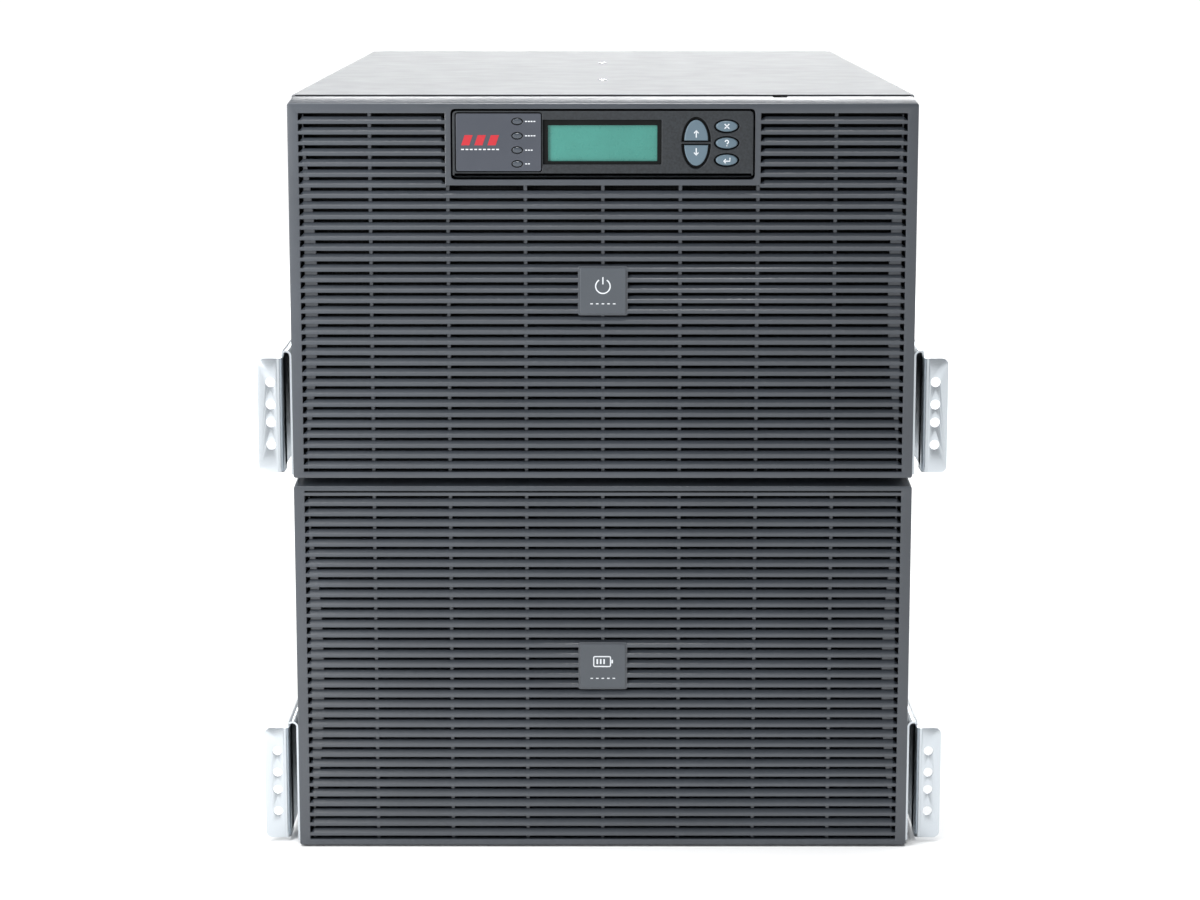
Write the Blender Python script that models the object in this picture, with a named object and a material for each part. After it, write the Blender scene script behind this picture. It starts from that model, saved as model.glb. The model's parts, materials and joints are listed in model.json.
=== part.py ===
"""Rackmount uninterruptible power supply: a 6U power unit standing on a 6U battery unit, on rack rails.

Lengths below are in millimetres; every solid is built in metres. +Z is up and the fronts face -Y.
Z = 0 is the underside of the lower rail ledges. Y = 0 is halfway between the front keys and the
rearmost cover, and X = 0 is the plane of symmetry.
"""

import math

import bmesh
import bpy
from mathutils import Matrix, Vector

MM = 0.001
GAP = 0.3  # clearance left between touching pieces

# Rack standard
RACK_UNIT = 44.45
ENCLOSURE_PITCH = 6 * RACK_UNIT
FLANGE_HALF_WIDTH = 241.3  # half of the 19 inch front, 482.6 mm
HOLE_COLUMN_X = 232.55  # half of the 465.1 mm between the columns of screw holes
HOLE_HEIGHTS = (22.225, 38.1, 50.8, 66.675)
HOLE_RADIUS = 3.4

# Enclosure
HALF_WIDTH = 216.0
CHASSIS_FRONT = -341.6
CHASSIS_REAR = 374.0
FLOOR_LEVEL = 1.5  # underside of an enclosure above its own rack position
ROOF_LEVEL = 265.4
SHEET = 1.5

# Bezel
BEZEL_FRONT = -378.0
BEZEL_BACK = -342.0
BEZEL_BOTTOM = 0.8
BEZEL_EDGE = 261.6  # front top edge, from which the display and the slots are measured down
BEZEL_TOP = 264.6
BEZEL_WALL = 3.0
SLOT_COUNT = 35
SLOT_PITCH = 7.27
FIRST_SLOT_DROP = 8.0
SLOT_HEIGHT = 2.4
SLOT_HALF_LENGTH = 208.5
BAR_DEPTH = 6.0
RIB_DEPTH = 4.0
RIB_WIDTH = 2.6
RIB_PITCH = 106.7
RIB_COUNT = 3
BADGE_SIZE = 32.0
BADGE_DROP = 129.0
POCKET_HALF_WIDTH = 104.1
POCKET_DROPS = (3.8, 52.1)
POCKET_RIM = 4.2

# Display unit, measured down from the upper bezel's front top edge
DISPLAY_FRONT = -379.4
KEY_FRONT = -380.0
KEY_TRAVEL = 1.0
DISPLAY_HALF_WIDTH = 102.9
DISPLAY_DROPS = (5.3, 50.9)
DISPLAY_WALL = 2.6
LABEL_X = (-100.5, -42.3)
LABEL_DROPS = (6.7, 46.1)
LCD_X = (-41.1, 40.1)
LCD_DROPS = (11.2, 41.7)
LED_X = -58.6
LED_DROPS = (12.3, 22.1, 31.9, 41.3)
ARROW_X = 63.8
ARROW_DROP = 26.9
ARROW_SEMI = (8.1, 15.2)
ARROW_SPLIT = 3.0
OVAL_X = 84.7
OVAL_SEMI = (7.6, 3.8)
OVAL_KEYS = {"key_escape": 15.6, "key_help": 27.1, "key_enter": 38.7}

# Rails
LEDGE = 1.2
RAIL_WALL = 1.4
RAIL_INNER_X = 216.6
RAIL_OUTER_X = 225.1
RAIL_ARC_LEVEL = 85.7
RAIL_FRONT = -366.0
RAIL_CHANNEL_FRONT = -358.0
RAIL_FRONT_END = 60.0
RAIL_REAR_START = -60.0
RAIL_REAR_LEDGE_START = 75.0
RAIL_REAR_END = 373.0
FLANGE_LEVELS = (2.5, 83.5)
LEDGE_INNER_X = 190.0
SLIDER_X = (219.9, 221.9)  # the rear rail's bar, inside the front rail's channel
SLIDER_LEVELS = (8.0, 78.0)
REAR_FLANGE = 1.6

# Fans and rear fittings
FAN_SIZE = 92.0
FAN_X = (-155.0, -52.0, 51.0)
FAN_LEVEL = 200.0
FAN_BORE = 44.0
ROTOR_RADIUS = 42.0
ROTOR_HUB = 18.0
BLADES = 7
BLADE_CHORD = 15.0
BLADE_THICK = 1.6
BLADE_PITCH_DEGREES = 32.0
FAN_DEPTH = 25.4
FAN_BACK = CHASSIS_REAR - SHEET - GAP
FAN_FRONT = FAN_BACK - FAN_DEPTH

# Rear fittings; heights are above the enclosure's rack position
BREAKER_HALF = (27.0, 22.0)
BREAKER_SLOT_HALF = (19.0, 12.0)
LEVER_HALF = (17.0, 4.0)
UPS_BREAKER = (145.0, 150.0)
BATTERY_BREAKER = (120.0, 200.0)
SOCKET_HALF = (30.0, 14.0)
SOCKET_WELL_HALF = (11.0, 9.0)
SOCKET_WELL_OFFSET = 14.0
UPS_SOCKET = (0.0, 30.0)
BATTERY_SOCKET = (0.0, 200.0)
OUTLET_X = (-196.0, -56.0)
OUTLET_LEVELS = (22.0, 128.0)
OUTLET_WELL_HALF = (14.0, 11.0)
OUTLET_COLUMNS = (-172.0, -126.0, -80.0)
OUTLET_ROWS = (50.0, 100.0)
CARD_X = (112.0, 204.0)
CARD_LEVELS = (226.0, 250.0)
CARD_DEPTH = 80.0
PORT_X = (150.0, 165.0)
PORT_LEVELS = (232.0, 244.0)
TERMINAL_X = (64.0, 206.0)
TERMINAL_LEVELS = (18.0, 118.0)

# Battery trays
TRAY_LENGTH = 600.0
TRAY_FRONT = -341.0
TRAY_PLATE = 3.0
TRAY_X = (1.2, 214.2)
TRAY_LIFT = 2.0  # height of the glide strips' clearance under a tray
TRAY_HEADROOM = 0.5
SHELF_LEVEL = 132.6
SHELF_REAR = 285.0
HANDLE_HALF = 55.0
HANDLE_REACH = 25.0
HANDLE_BAR = 4.0
HANDLE_LEVELS = (-26.0, -10.0)  # from the tray's middle height
PLUG_HALF = 26.0
PLUG_REACH = 16.0
PLUG_LEVELS = (16.0, 38.0)
PLUG_WELL_HALF = 9.0
PLUG_WELL_OFFSET = 12.0
PLUG_WALL = 4.0  # above and below the wells
PLUG_BACK = 5.0
BACKPLANE_FRONT = 296.0
BACKPLANE_X = 200.0
BACKPLANE_LEVELS = (12.0, 252.0)

# Electronics of the power unit
BOARD_X = (-195.0, 205.0)
BOARD_Y = (-250.0, 250.0)
BOARD_LEVEL = 30.0
PARTS_LEVEL = 33.0  # the components stand on the board from here
SINK_TOP = 130.0
SINK_Y = (-230.0, 200.0)
SINK_BANKS = ((-175.0, -75.0), (-10.0, 90.0))
SINK_BASE = 8.0
SINK_FINS = 9
CAN_RADIUS = 24.0
CAN_COLUMNS = (128.0, 180.0)
CAN_ROWS = (-215.0, -163.0, -111.0, -59.0)
CAN_TOP = 140.0
COIL_X = 154.0
COIL_Y = (62.0, 138.0)
COIL_RADII = (34.0, 14.0)

COLOURS = {
    # name: (red, green, blue, roughness, metallic), linear colour
    "bezel_plastic": (0.055, 0.062, 0.070, 0.55, 0.0),
    "display_plastic": (0.030, 0.034, 0.040, 0.60, 0.0),
    "label_plastic": (0.090, 0.115, 0.140, 0.40, 0.0),
    "badge_plastic": (0.060, 0.070, 0.082, 0.45, 0.0),
    "key_rubber": (0.160, 0.220, 0.260, 0.50, 0.0),
    "lcd_glass": (0.100, 0.400, 0.330, 0.10, 0.0),
    "lcd_frame": (0.020, 0.022, 0.024, 0.50, 0.0),
    "led_lens": (0.050, 0.055, 0.070, 0.25, 0.0),
    "sheet_light": (0.420, 0.430, 0.440, 0.45, 0.3),
    "sheet_steel": (0.350, 0.360, 0.370, 0.40, 0.9),
    "zinc": (0.520, 0.550, 0.580, 0.35, 0.9),
    "black_steel": (0.020, 0.021, 0.023, 0.50, 0.2),
    "circuit_board": (0.020, 0.150, 0.060, 0.50, 0.0),
    "aluminium": (0.600, 0.610, 0.620, 0.35, 1.0),
    "capacitor": (0.030, 0.040, 0.120, 0.40, 0.0),
    "copper": (0.450, 0.180, 0.080, 0.40, 0.9),
    "fan_plastic": (0.015, 0.015, 0.017, 0.50, 0.0),
    "socket_plastic": (0.020, 0.020, 0.022, 0.45, 0.0),
    "breaker_plastic": (0.045, 0.045, 0.048, 0.45, 0.0),
    "lever_plastic": (0.500, 0.500, 0.500, 0.40, 0.0),
}

for old in list(bpy.data.objects):
    bpy.data.objects.remove(old, do_unlink=True)

parts = bpy.data.collections.new("rackmount_ups")
cutters = bpy.data.collections.new("cutters")
bpy.context.scene.collection.children.link(parts)
bpy.context.scene.collection.children.link(cutters)


def make_material(name):
    red, green, blue, roughness, metallic = COLOURS[name]
    material = bpy.data.materials.new(name)
    material.use_nodes = True
    shader = material.node_tree.nodes["Principled BSDF"]
    shader.inputs["Base Color"].default_value = (red, green, blue, 1.0)
    shader.inputs["Roughness"].default_value = roughness
    shader.inputs["Metallic"].default_value = metallic
    return material


MATERIALS = {name: make_material(name) for name in COLOURS}


def add_object(name, mesh, material=None, smooth=False):
    """Links a mesh as a named part, or as a cutter where it has no material."""
    thing = bpy.data.objects.new(name, mesh)
    if material is None:
        cutters.objects.link(thing)
        thing.hide_render = True
        thing.display_type = "WIRE"
    else:
        parts.objects.link(thing)
        mesh.materials.append(MATERIALS[material])
    if smooth:
        mesh.shade_smooth()
        mesh.set_sharp_from_angle(angle=math.radians(35))
    return thing


def add_cube(mesh_builder, low, high):
    """Adds one axis-aligned cube between two corners given in millimetres, exactly on them."""
    vertices = bmesh.ops.create_cube(mesh_builder, size=1.0)["verts"]
    for vertex in vertices:
        picks = [high[i] if vertex.co[i] > 0 else low[i] for i in range(3)]
        vertex.co = Vector(picks) * MM
    return vertices


def finish_mesh(mesh_builder, name):
    mesh = bpy.data.meshes.new(name)
    mesh_builder.to_mesh(mesh)
    mesh_builder.free()
    return mesh


def boxes(name, corners, material=None, bevel=0.0):
    """One mesh of separate cubes, each given as (low corner, high corner)."""
    mesh_builder = bmesh.new()
    for low, high in corners:
        add_cube(mesh_builder, low, high)
    if bevel:
        bmesh.ops.bevel(mesh_builder, geom=mesh_builder.edges[:], offset=bevel * MM,
                        segments=2, profile=0.5, affect="EDGES")
    return add_object(name, finish_mesh(mesh_builder, name), material)


def box(name, low, high, material=None, bevel=0.0):
    return boxes(name, [(low, high)], material, bevel)


def prism(name, outline, axis, start, end, material=None, smooth=False):
    """Extrudes a closed outline along X, Y or Z, from start to end."""
    place = {
        "x": lambda a, b, c: (c, a, b),
        "y": lambda a, b, c: (a, c, b),
        "z": lambda a, b, c: (a, b, c),
    }[axis]
    mesh_builder = bmesh.new()
    base = [mesh_builder.verts.new(Vector(place(a, b, start)) * MM) for a, b in outline]
    face = mesh_builder.faces.new(base)
    moved = bmesh.ops.extrude_face_region(mesh_builder, geom=[face])["geom"]
    step = Vector(place(0, 0, end - start)) * MM
    tops = [item for item in moved if isinstance(item, bmesh.types.BMVert)]
    bmesh.ops.translate(mesh_builder, verts=tops, vec=step)
    bmesh.ops.recalc_face_normals(mesh_builder, faces=mesh_builder.faces[:])
    return add_object(name, finish_mesh(mesh_builder, name), material, smooth)


def cylinders(name, centres, radius, start, end, axis="y", sides=24, squash=1.0, material=None):
    """One mesh of equal upright cylinders along an axis; squash scales the second cross direction."""
    turn = {
        "x": Matrix.Rotation(math.radians(90), 4, "Y"),
        "y": Matrix.Rotation(math.radians(-90), 4, "X"),
        "z": Matrix.Identity(4),
    }[axis]
    place = {
        "x": lambda a, b, c: (c, a, b),
        "y": lambda a, b, c: (a, c, b),
        "z": lambda a, b, c: (a, b, c),
    }[axis]
    mesh_builder = bmesh.new()
    for a, b in centres:
        middle = Vector(place(a, b, (start + end) / 2)) * MM
        shape = Matrix.Translation(middle) @ turn @ Matrix.Diagonal((1.0, squash, 1.0, 1.0))
        bmesh.ops.create_cone(mesh_builder, cap_ends=True, segments=sides, radius1=radius * MM,
                              radius2=radius * MM, depth=(end - start) * MM, matrix=shape)
    return add_object(name, finish_mesh(mesh_builder, name), material, smooth=material is not None)


def combine(target, others, operation="DIFFERENCE"):
    for other in others:
        step = target.modifiers.new(other.name, "BOOLEAN")
        step.operation = operation
        step.solver = "EXACT"
        step.object = other
    return target


def cut(target, *others):
    return combine(target, others, "DIFFERENCE")


def join(target, *others):
    return combine(target, others, "UNION")


def arc(centre_x, centre_y, radius, start_degrees, end_degrees, steps):
    """Points along a circular arc, both ends included."""
    points = []
    for step in range(steps + 1):
        angle = math.radians(start_degrees + (end_degrees - start_degrees) * step / steps)
        points.append((centre_x + radius * math.cos(angle), centre_y + radius * math.sin(angle)))
    return points


def drop_box(x_range, drops, y_range, base):
    """Corners of a box whose heights are measured down from the bezel's front top edge."""
    edge = base + BEZEL_EDGE
    low = (x_range[0], y_range[0], edge - drops[1])
    high = (x_range[1], y_range[1], edge - drops[0])
    return low, high


# ---------------------------------------------------------------- enclosures


def make_shell(unit, base):
    """Base pan, two side walls and top cover of one enclosure."""
    floor = base + FLOOR_LEVEL
    roof = base + ROOF_LEVEL
    inside = (floor + SHEET + GAP, roof - SHEET - GAP)
    box(unit + "_base_pan", (-HALF_WIDTH, CHASSIS_FRONT, floor),
        (HALF_WIDTH, CHASSIS_REAR, floor + SHEET), "sheet_steel")
    for side, sign in (("left", -1), ("right", 1)):
        near, far = sorted((sign * (HALF_WIDTH - SHEET), sign * HALF_WIDTH))
        box(f"{unit}_{side}_side", (near, CHASSIS_FRONT, inside[0]),
            (far, CHASSIS_REAR, inside[1]), "sheet_light")
    half, corner = HALF_WIDTH, 10.0
    outline = [(-half, CHASSIS_FRONT), (half, CHASSIS_FRONT), (half, CHASSIS_REAR - corner),
               (half - corner, CHASSIS_REAR), (corner - half, CHASSIS_REAR),
               (-half, CHASSIS_REAR - corner)]
    prism(unit + "_top_cover", outline, "z", roof - SHEET, roof, "sheet_light")


def make_rear_panel(unit, base, openings):
    """Rear panel between the side walls, with its openings cut out by the given cutters."""
    half = HALF_WIDTH - SHEET - GAP
    panel = box(unit + "_rear_panel", (-half, CHASSIS_REAR - SHEET, base + FLOOR_LEVEL + SHEET + GAP),
                (half, CHASSIS_REAR, base + ROOF_LEVEL - SHEET - GAP), "sheet_light")
    cut(panel, *openings)


def make_bezel(unit, base, with_pocket):
    """Louvered front: full-width slots in front, ribs left standing behind the bars."""
    edge = base + BEZEL_EDGE
    mesh_builder = bmesh.new()
    corners = add_cube(mesh_builder, (-HALF_WIDTH, BEZEL_FRONT, base + BEZEL_BOTTOM),
                       (HALF_WIDTH, BEZEL_BACK, base + BEZEL_TOP))
    for vertex in corners:
        if vertex.co.y < BEZEL_FRONT * MM + 1e-4 and vertex.co.z > edge * MM:
            vertex.co.z = edge * MM
    name = unit + "_front_bezel"
    bezel = add_object(name, finish_mesh(mesh_builder, name), "bezel_plastic")

    plate_back = BEZEL_FRONT + BAR_DEPTH + RIB_DEPTH
    bar_back = BEZEL_FRONT + BAR_DEPTH
    hollow = box(name + "_hollow", (BEZEL_WALL - HALF_WIDTH, plate_back, base + BEZEL_BOTTOM + BEZEL_WALL),
                 (HALF_WIDTH - BEZEL_WALL, BEZEL_BACK + 1, edge - BEZEL_WALL))
    slots = []
    for row in range(SLOT_COUNT):
        middle = edge - FIRST_SLOT_DROP - row * SLOT_PITCH
        slots.append(((-SLOT_HALF_LENGTH, BEZEL_FRONT - 1, middle - SLOT_HEIGHT / 2),
                      (SLOT_HALF_LENGTH, bar_back, middle + SLOT_HEIGHT / 2)))
    slot_cutter = boxes(name + "_slots", slots)
    ribs = [RIB_PITCH * (index - (RIB_COUNT - 1) / 2) for index in range(RIB_COUNT)]
    edges = [-SLOT_HALF_LENGTH - RIB_WIDTH / 2] + ribs + [SLOT_HALF_LENGTH + RIB_WIDTH / 2]
    last_drop = FIRST_SLOT_DROP + (SLOT_COUNT - 1) * SLOT_PITCH
    low = edge - last_drop - SLOT_HEIGHT
    high = edge - FIRST_SLOT_DROP + SLOT_HEIGHT
    windows = [((left + RIB_WIDTH / 2, bar_back, low), (right - RIB_WIDTH / 2, plate_back + 1, high))
               for left, right in zip(edges, edges[1:])]
    window_cutter = boxes(name + "_windows", windows)
    if with_pocket:
        half = POCKET_HALF_WIDTH + POCKET_RIM
        rim = box(name + "_pocket_rim", *drop_box((-half, half), (1.0, POCKET_DROPS[1] + POCKET_RIM),
                                                  (BEZEL_FRONT - 2, plate_back + 2), base))
        cut(slot_cutter, rim)
        cut(window_cutter, rim)
    cut(bezel, hollow, slot_cutter, window_cutter)
    if with_pocket:
        span = (-POCKET_HALF_WIDTH, POCKET_HALF_WIDTH)
        cut(bezel, box(name + "_pocket", *drop_box(span, POCKET_DROPS,
                                                   (BEZEL_FRONT - 3, BEZEL_BACK + 1), base)))
    half = BADGE_SIZE / 2
    seat = box(name + "_badge_seat", (-half - GAP, BEZEL_FRONT - 2, edge - BADGE_DROP - half - GAP),
               (half + GAP, BEZEL_FRONT + 1.2, edge - BADGE_DROP + half + GAP))
    cut(bezel, seat)
    box(unit + "_bezel_badge", (-half, BEZEL_FRONT - 0.6, edge - BADGE_DROP - half),
        (half, BEZEL_FRONT + 0.9, edge - BADGE_DROP + half), "badge_plastic", bevel=0.4)


# ---------------------------------------------------------------- display unit


def make_display(base):
    edge = base + BEZEL_EDGE
    back = BEZEL_BACK + GAP / 2
    wall_back = DISPLAY_FRONT + DISPLAY_WALL
    span = (-DISPLAY_HALF_WIDTH, DISPLAY_HALF_WIDTH)
    housing = box("display_housing", *drop_box(span, DISPLAY_DROPS, (DISPLAY_FRONT, back), base),
                  "display_plastic")
    inner = (DISPLAY_WALL - DISPLAY_HALF_WIDTH, DISPLAY_HALF_WIDTH - DISPLAY_WALL)
    hollow_drops = (DISPLAY_DROPS[0] + 2.0, DISPLAY_DROPS[1] - 2.0)
    hollow = box("display_hollow", *drop_box(inner, hollow_drops, (wall_back, back + 1), base))
    label_recess = box("label_recess", *drop_box(
        (LABEL_X[0] - GAP, LABEL_X[1] + GAP), (LABEL_DROPS[0] - GAP, LABEL_DROPS[1] + GAP),
        (DISPLAY_FRONT - 1, DISPLAY_FRONT + 1.0), base))
    led_window = box("led_window", *drop_box((LED_X - 5, LED_X + 5), (LED_DROPS[0] - 4, LED_DROPS[3] + 4),
                                             (DISPLAY_FRONT - 1, wall_back + 1), base))
    lens_recess = box("lens_recess", *drop_box(
        (LCD_X[0], LCD_X[1]), LCD_DROPS, (DISPLAY_FRONT - 1, DISPLAY_FRONT + 1.4), base))
    lcd_window_cut = box("lcd_window_cut", *drop_box(
        (LCD_X[0] + 3.4, LCD_X[1] - 3.4), (LCD_DROPS[0] + 3.4, LCD_DROPS[1] - 3.4),
        (DISPLAY_FRONT - 1, wall_back + 1), base))
    cut(housing, hollow, label_recess, led_window, lens_recess, lcd_window_cut)

    label = box("display_label_plate", *drop_box(LABEL_X, LABEL_DROPS,
                                                 (DISPLAY_FRONT - 0.1, DISPLAY_FRONT + 0.7), base),
                "label_plastic")
    leds = [(LED_X, edge - drop) for drop in LED_DROPS]
    cut(label, cylinders("led_holes", leds, 3.8, DISPLAY_FRONT - 2, DISPLAY_FRONT + 2, squash=0.64))
    pipes = box("led_light_pipes", (LED_X - 3, wall_back - 1.0, edge - LED_DROPS[3] - 3),
                (LED_X + 3, wall_back + 1.0, edge - LED_DROPS[0] + 3), "led_lens")
    join(pipes, cylinders("led_heads", leds, 3.4, DISPLAY_FRONT - 0.3, wall_back - 0.5, sides=16,
                          squash=0.58))

    box("lcd_window", *drop_box((LCD_X[0] + GAP, LCD_X[1] - GAP), (LCD_DROPS[0] + GAP, LCD_DROPS[1] - GAP),
                                (DISPLAY_FRONT + 0.1, DISPLAY_FRONT + 1.1), base), "lcd_glass")
    module = box("lcd_module", *drop_box((LCD_X[0], LCD_X[1]), LCD_DROPS,
                                         (wall_back + GAP, wall_back + 8.0), base), "lcd_frame", bevel=0.5)
    board_front = wall_back + 10.8
    spacer = box("lcd_spacer", *drop_box((LCD_X[0] + 6, LCD_X[1] - 6), (LCD_DROPS[0] + 6, LCD_DROPS[1] - 6),
                                         (wall_back + 7.0, board_front + 0.5), base))
    join(module, spacer, box("display_board", *drop_box((-97, 97), (9.0, 47.5),
                                                        (board_front, board_front + 1.6), base)))

    keys = {name: (OVAL_X, edge - drop) for name, drop in OVAL_KEYS.items()}
    ratio = OVAL_SEMI[1] / OVAL_SEMI[0]
    for name, centre in keys.items():
        head = cylinders(name, [centre], OVAL_SEMI[0], KEY_FRONT, wall_back + 0.4, squash=ratio,
                         material="key_rubber")
        finish_key(head, name, centre, OVAL_SEMI, wall_back, board_front)
        hole = cylinders(name + "_hole", [centre], OVAL_SEMI[0] + 0.5, DISPLAY_FRONT - 1, wall_back + 1,
                         squash=(OVAL_SEMI[1] + 0.5) / (OVAL_SEMI[0] + 0.5))
        cut(housing, hole)
    centre = (ARROW_X, edge - ARROW_DROP)
    ratio = ARROW_SEMI[1] / ARROW_SEMI[0]
    half_split = ARROW_SPLIT / 2
    for name, sign in (("key_up", 1), ("key_down", -1)):
        low, high = sorted((centre[1] + sign * half_split, centre[1] + sign * (ARROW_SEMI[1] + 4)))
        head = cylinders(name, [centre], ARROW_SEMI[0], KEY_FRONT, wall_back + 0.4, squash=ratio,
                         material="key_rubber")
        keep = box(name + "_keep", (ARROW_X - 20, KEY_FRONT - 1, low), (ARROW_X + 20, wall_back + 2, high))
        combine(head, [keep], "INTERSECT")
        middle = (ARROW_X, centre[1] + sign * (half_split + ARROW_SEMI[1]) / 2)
        finish_key(head, name, middle, (ARROW_SEMI[0] - 1.5, 4.5), wall_back, board_front)
        hole = cylinders(name + "_hole", [centre], ARROW_SEMI[0] + 0.5, DISPLAY_FRONT - 1, wall_back + 1,
                         squash=(ARROW_SEMI[1] + 0.5) / (ARROW_SEMI[0] + 0.5))
        low, high = sorted((centre[1] + sign * (half_split - 0.5), centre[1] + sign * (ARROW_SEMI[1] + 4)))
        span_box = box(name + "_hole_span", (ARROW_X - 20, DISPLAY_FRONT - 2, low),
                       (ARROW_X + 20, wall_back + 2, high))
        combine(hole, [span_box], "INTERSECT")
        cut(housing, hole)


def finish_key(head, name, centre, semi, wall_back, board_front):
    """Adds the collar that keeps a key in its hole, and the stem that presses its switch."""
    collar = box(name + "_collar", (centre[0] - semi[0] - 0.6, wall_back + 0.3, centre[1] - semi[1] - 0.6),
                 (centre[0] + semi[0] + 0.6, wall_back + 1.3, centre[1] + semi[1] + 0.6))
    stem = box(name + "_stem", (centre[0] - 1.5, wall_back + 1.0, centre[1] - 1.5),
               (centre[0] + 1.5, board_front - GAP - KEY_TRAVEL, centre[1] + 1.5))
    join(head, collar, stem)


# ---------------------------------------------------------------- power unit


def make_front_panel(base):
    """Steel panel behind the bezel, with tall air windows."""
    half = HALF_WIDTH - SHEET - GAP
    low, high = base + FLOOR_LEVEL + SHEET + GAP, base + ROOF_LEVEL - SHEET - GAP
    panel = box("ups_front_panel", (-half, CHASSIS_FRONT, low), (half, CHASSIS_FRONT + SHEET, high),
                "black_steel")
    columns, rows = 8, 4
    pitch_x, pitch_z = 51.0, 50.0
    half_window = 21.0
    windows = []
    for column in range(columns):
        for row in range(rows):
            x = (column - (columns - 1) / 2) * pitch_x
            z = low + 32 + row * pitch_z
            windows.append(((x - half_window, CHASSIS_FRONT - 1, z - half_window),
                            (x + half_window, CHASSIS_FRONT + SHEET + 1, z + half_window)))
    cut(panel, boxes("front_panel_windows", windows))


def make_heat_sink(low, high, banks, fins):
    """Extrusion with two banks of fins on one base: the gaps are cut from the top."""
    block = box("heat_sink", low, high, "aluminium")
    floor = low[2] + SINK_BASE
    gaps = [((banks[0][1], low[1] - 1, floor), (banks[1][0], high[1] + 1, high[2] + 1))]
    for start, end in banks:
        pitch = (end - start) / (fins - 1 + 0.4)
        for index in range(fins - 1):
            near = start + (index + 0.4) * pitch
            gaps.append(((near, low[1] - 1, floor), (near + 0.6 * pitch, high[1] + 1, high[2] + 1)))
    cut(block, boxes("heat_sink_gaps", gaps))


def make_power_electronics(base):
    """Main board, with the heat sink, a bank of capacitors and the filter coils on it."""
    bottom = base + PARTS_LEVEL
    box("power_board", (BOARD_X[0], BOARD_Y[0], base + BOARD_LEVEL),
        (BOARD_X[1], BOARD_Y[1], base + BOARD_LEVEL + 2), "circuit_board")
    make_heat_sink((SINK_BANKS[0][0], SINK_Y[0], bottom), (SINK_BANKS[1][1], SINK_Y[1], base + SINK_TOP),
                   SINK_BANKS, SINK_FINS)
    spots = [(x, y) for x in CAN_COLUMNS for y in CAN_ROWS]
    margin = CAN_RADIUS + 2
    bank = box("bus_capacitor_bank", (CAN_COLUMNS[0] - margin, CAN_ROWS[0] - margin, bottom),
               (CAN_COLUMNS[1] + margin, CAN_ROWS[-1] + margin, bottom + 5), "capacitor")
    join(bank, cylinders("capacitor_cans", spots, CAN_RADIUS, bottom + 4, base + CAN_TOP, axis="z",
                         sides=20))
    outer, inner = COIL_RADII
    coils = [(COIL_X, y) for y in COIL_Y]
    foot = box("filter_inductor", (COIL_X - 46, COIL_Y[0] - 42, bottom),
               (COIL_X + 46, COIL_Y[1] + 42, bottom + 19), "copper")
    join(foot, cylinders("inductor_coils", coils, outer, bottom + 17, bottom + 77, axis="z"))
    cut(foot, cylinders("inductor_holes", coils, inner, bottom + 27, bottom + 87, axis="z"))


def make_blade(mesh_builder, turn):
    """One fan blade: a flat slab pitched about its radius, then turned to its place."""
    slab = Matrix.Diagonal((BLADE_CHORD * MM, BLADE_THICK * MM, (ROTOR_RADIUS - ROTOR_HUB + 3) * MM, 1.0))
    pitch = Matrix.Rotation(math.radians(BLADE_PITCH_DEGREES), 4, "Z")
    out = Matrix.Translation((0, 0, (ROTOR_RADIUS + ROTOR_HUB - 3) / 2 * MM))
    spin = Matrix.Rotation(turn, 4, "Y")
    bmesh.ops.create_cube(mesh_builder, size=1.0, matrix=spin @ out @ pitch @ slab)


def make_fan_housing(base):
    """One moulding for the fans side by side: their bores, struts and motor seats."""
    level = base + FAN_LEVEL
    half = FAN_SIZE / 2
    centres = [(x, level) for x in FAN_X]
    housing = box("fan_housing", (FAN_X[0] - half, FAN_FRONT, level - half),
                  (FAN_X[-1] + half, FAN_BACK, level + half), "fan_plastic")
    cut(housing, cylinders("fan_bores", centres, FAN_BORE, FAN_FRONT - 1, FAN_BACK + 1, sides=28))
    seats = cylinders("fan_seats", centres, ROTOR_HUB, FAN_BACK - 4, FAN_BACK, sides=20)
    reach = half - 1
    struts = box("fan_struts", (FAN_X[0] - reach, FAN_BACK - 3, level - 2),
                 (FAN_X[-1] + reach, FAN_BACK, level + 2))
    posts = [((x - 2, FAN_BACK - 3, level - reach), (x + 2, FAN_BACK, level + reach)) for x in FAN_X]
    join(housing, seats, struts, boxes("fan_posts", posts))


def make_rotor(index, x, base):
    """Hub and blades that turn about Y, in front of the motor seat."""
    level = base + FAN_LEVEL
    centre = (FAN_FRONT + FAN_BACK - 5) / 2
    hub_half = (FAN_BACK - FAN_FRONT - 7) / 2
    rotor = cylinders(f"fan_rotor_{index}", [(0, 0)], ROTOR_HUB, -hub_half, hub_half, sides=20,
                      material="fan_plastic")
    for blade in range(BLADES):
        mesh_builder = bmesh.new()
        make_blade(mesh_builder, 2 * math.pi * blade / BLADES)
        name = f"fan_blade_{index}_{blade + 1}"
        piece = add_object(name, finish_mesh(mesh_builder, name))
        piece.location = Vector((x, centre, level)) * MM
        join(rotor, piece)
    rotor.location = Vector((x, centre, level)) * MM


def panel_cutout(name, x, half_width, low, high):
    """Cutter for a hole in the rear panel, a little larger than the fitting that fills it."""
    return box(name, (x - half_width - GAP, CHASSIS_REAR - 3, low - GAP),
               (x + half_width + GAP, CHASSIS_REAR + 1, high + GAP))


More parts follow.
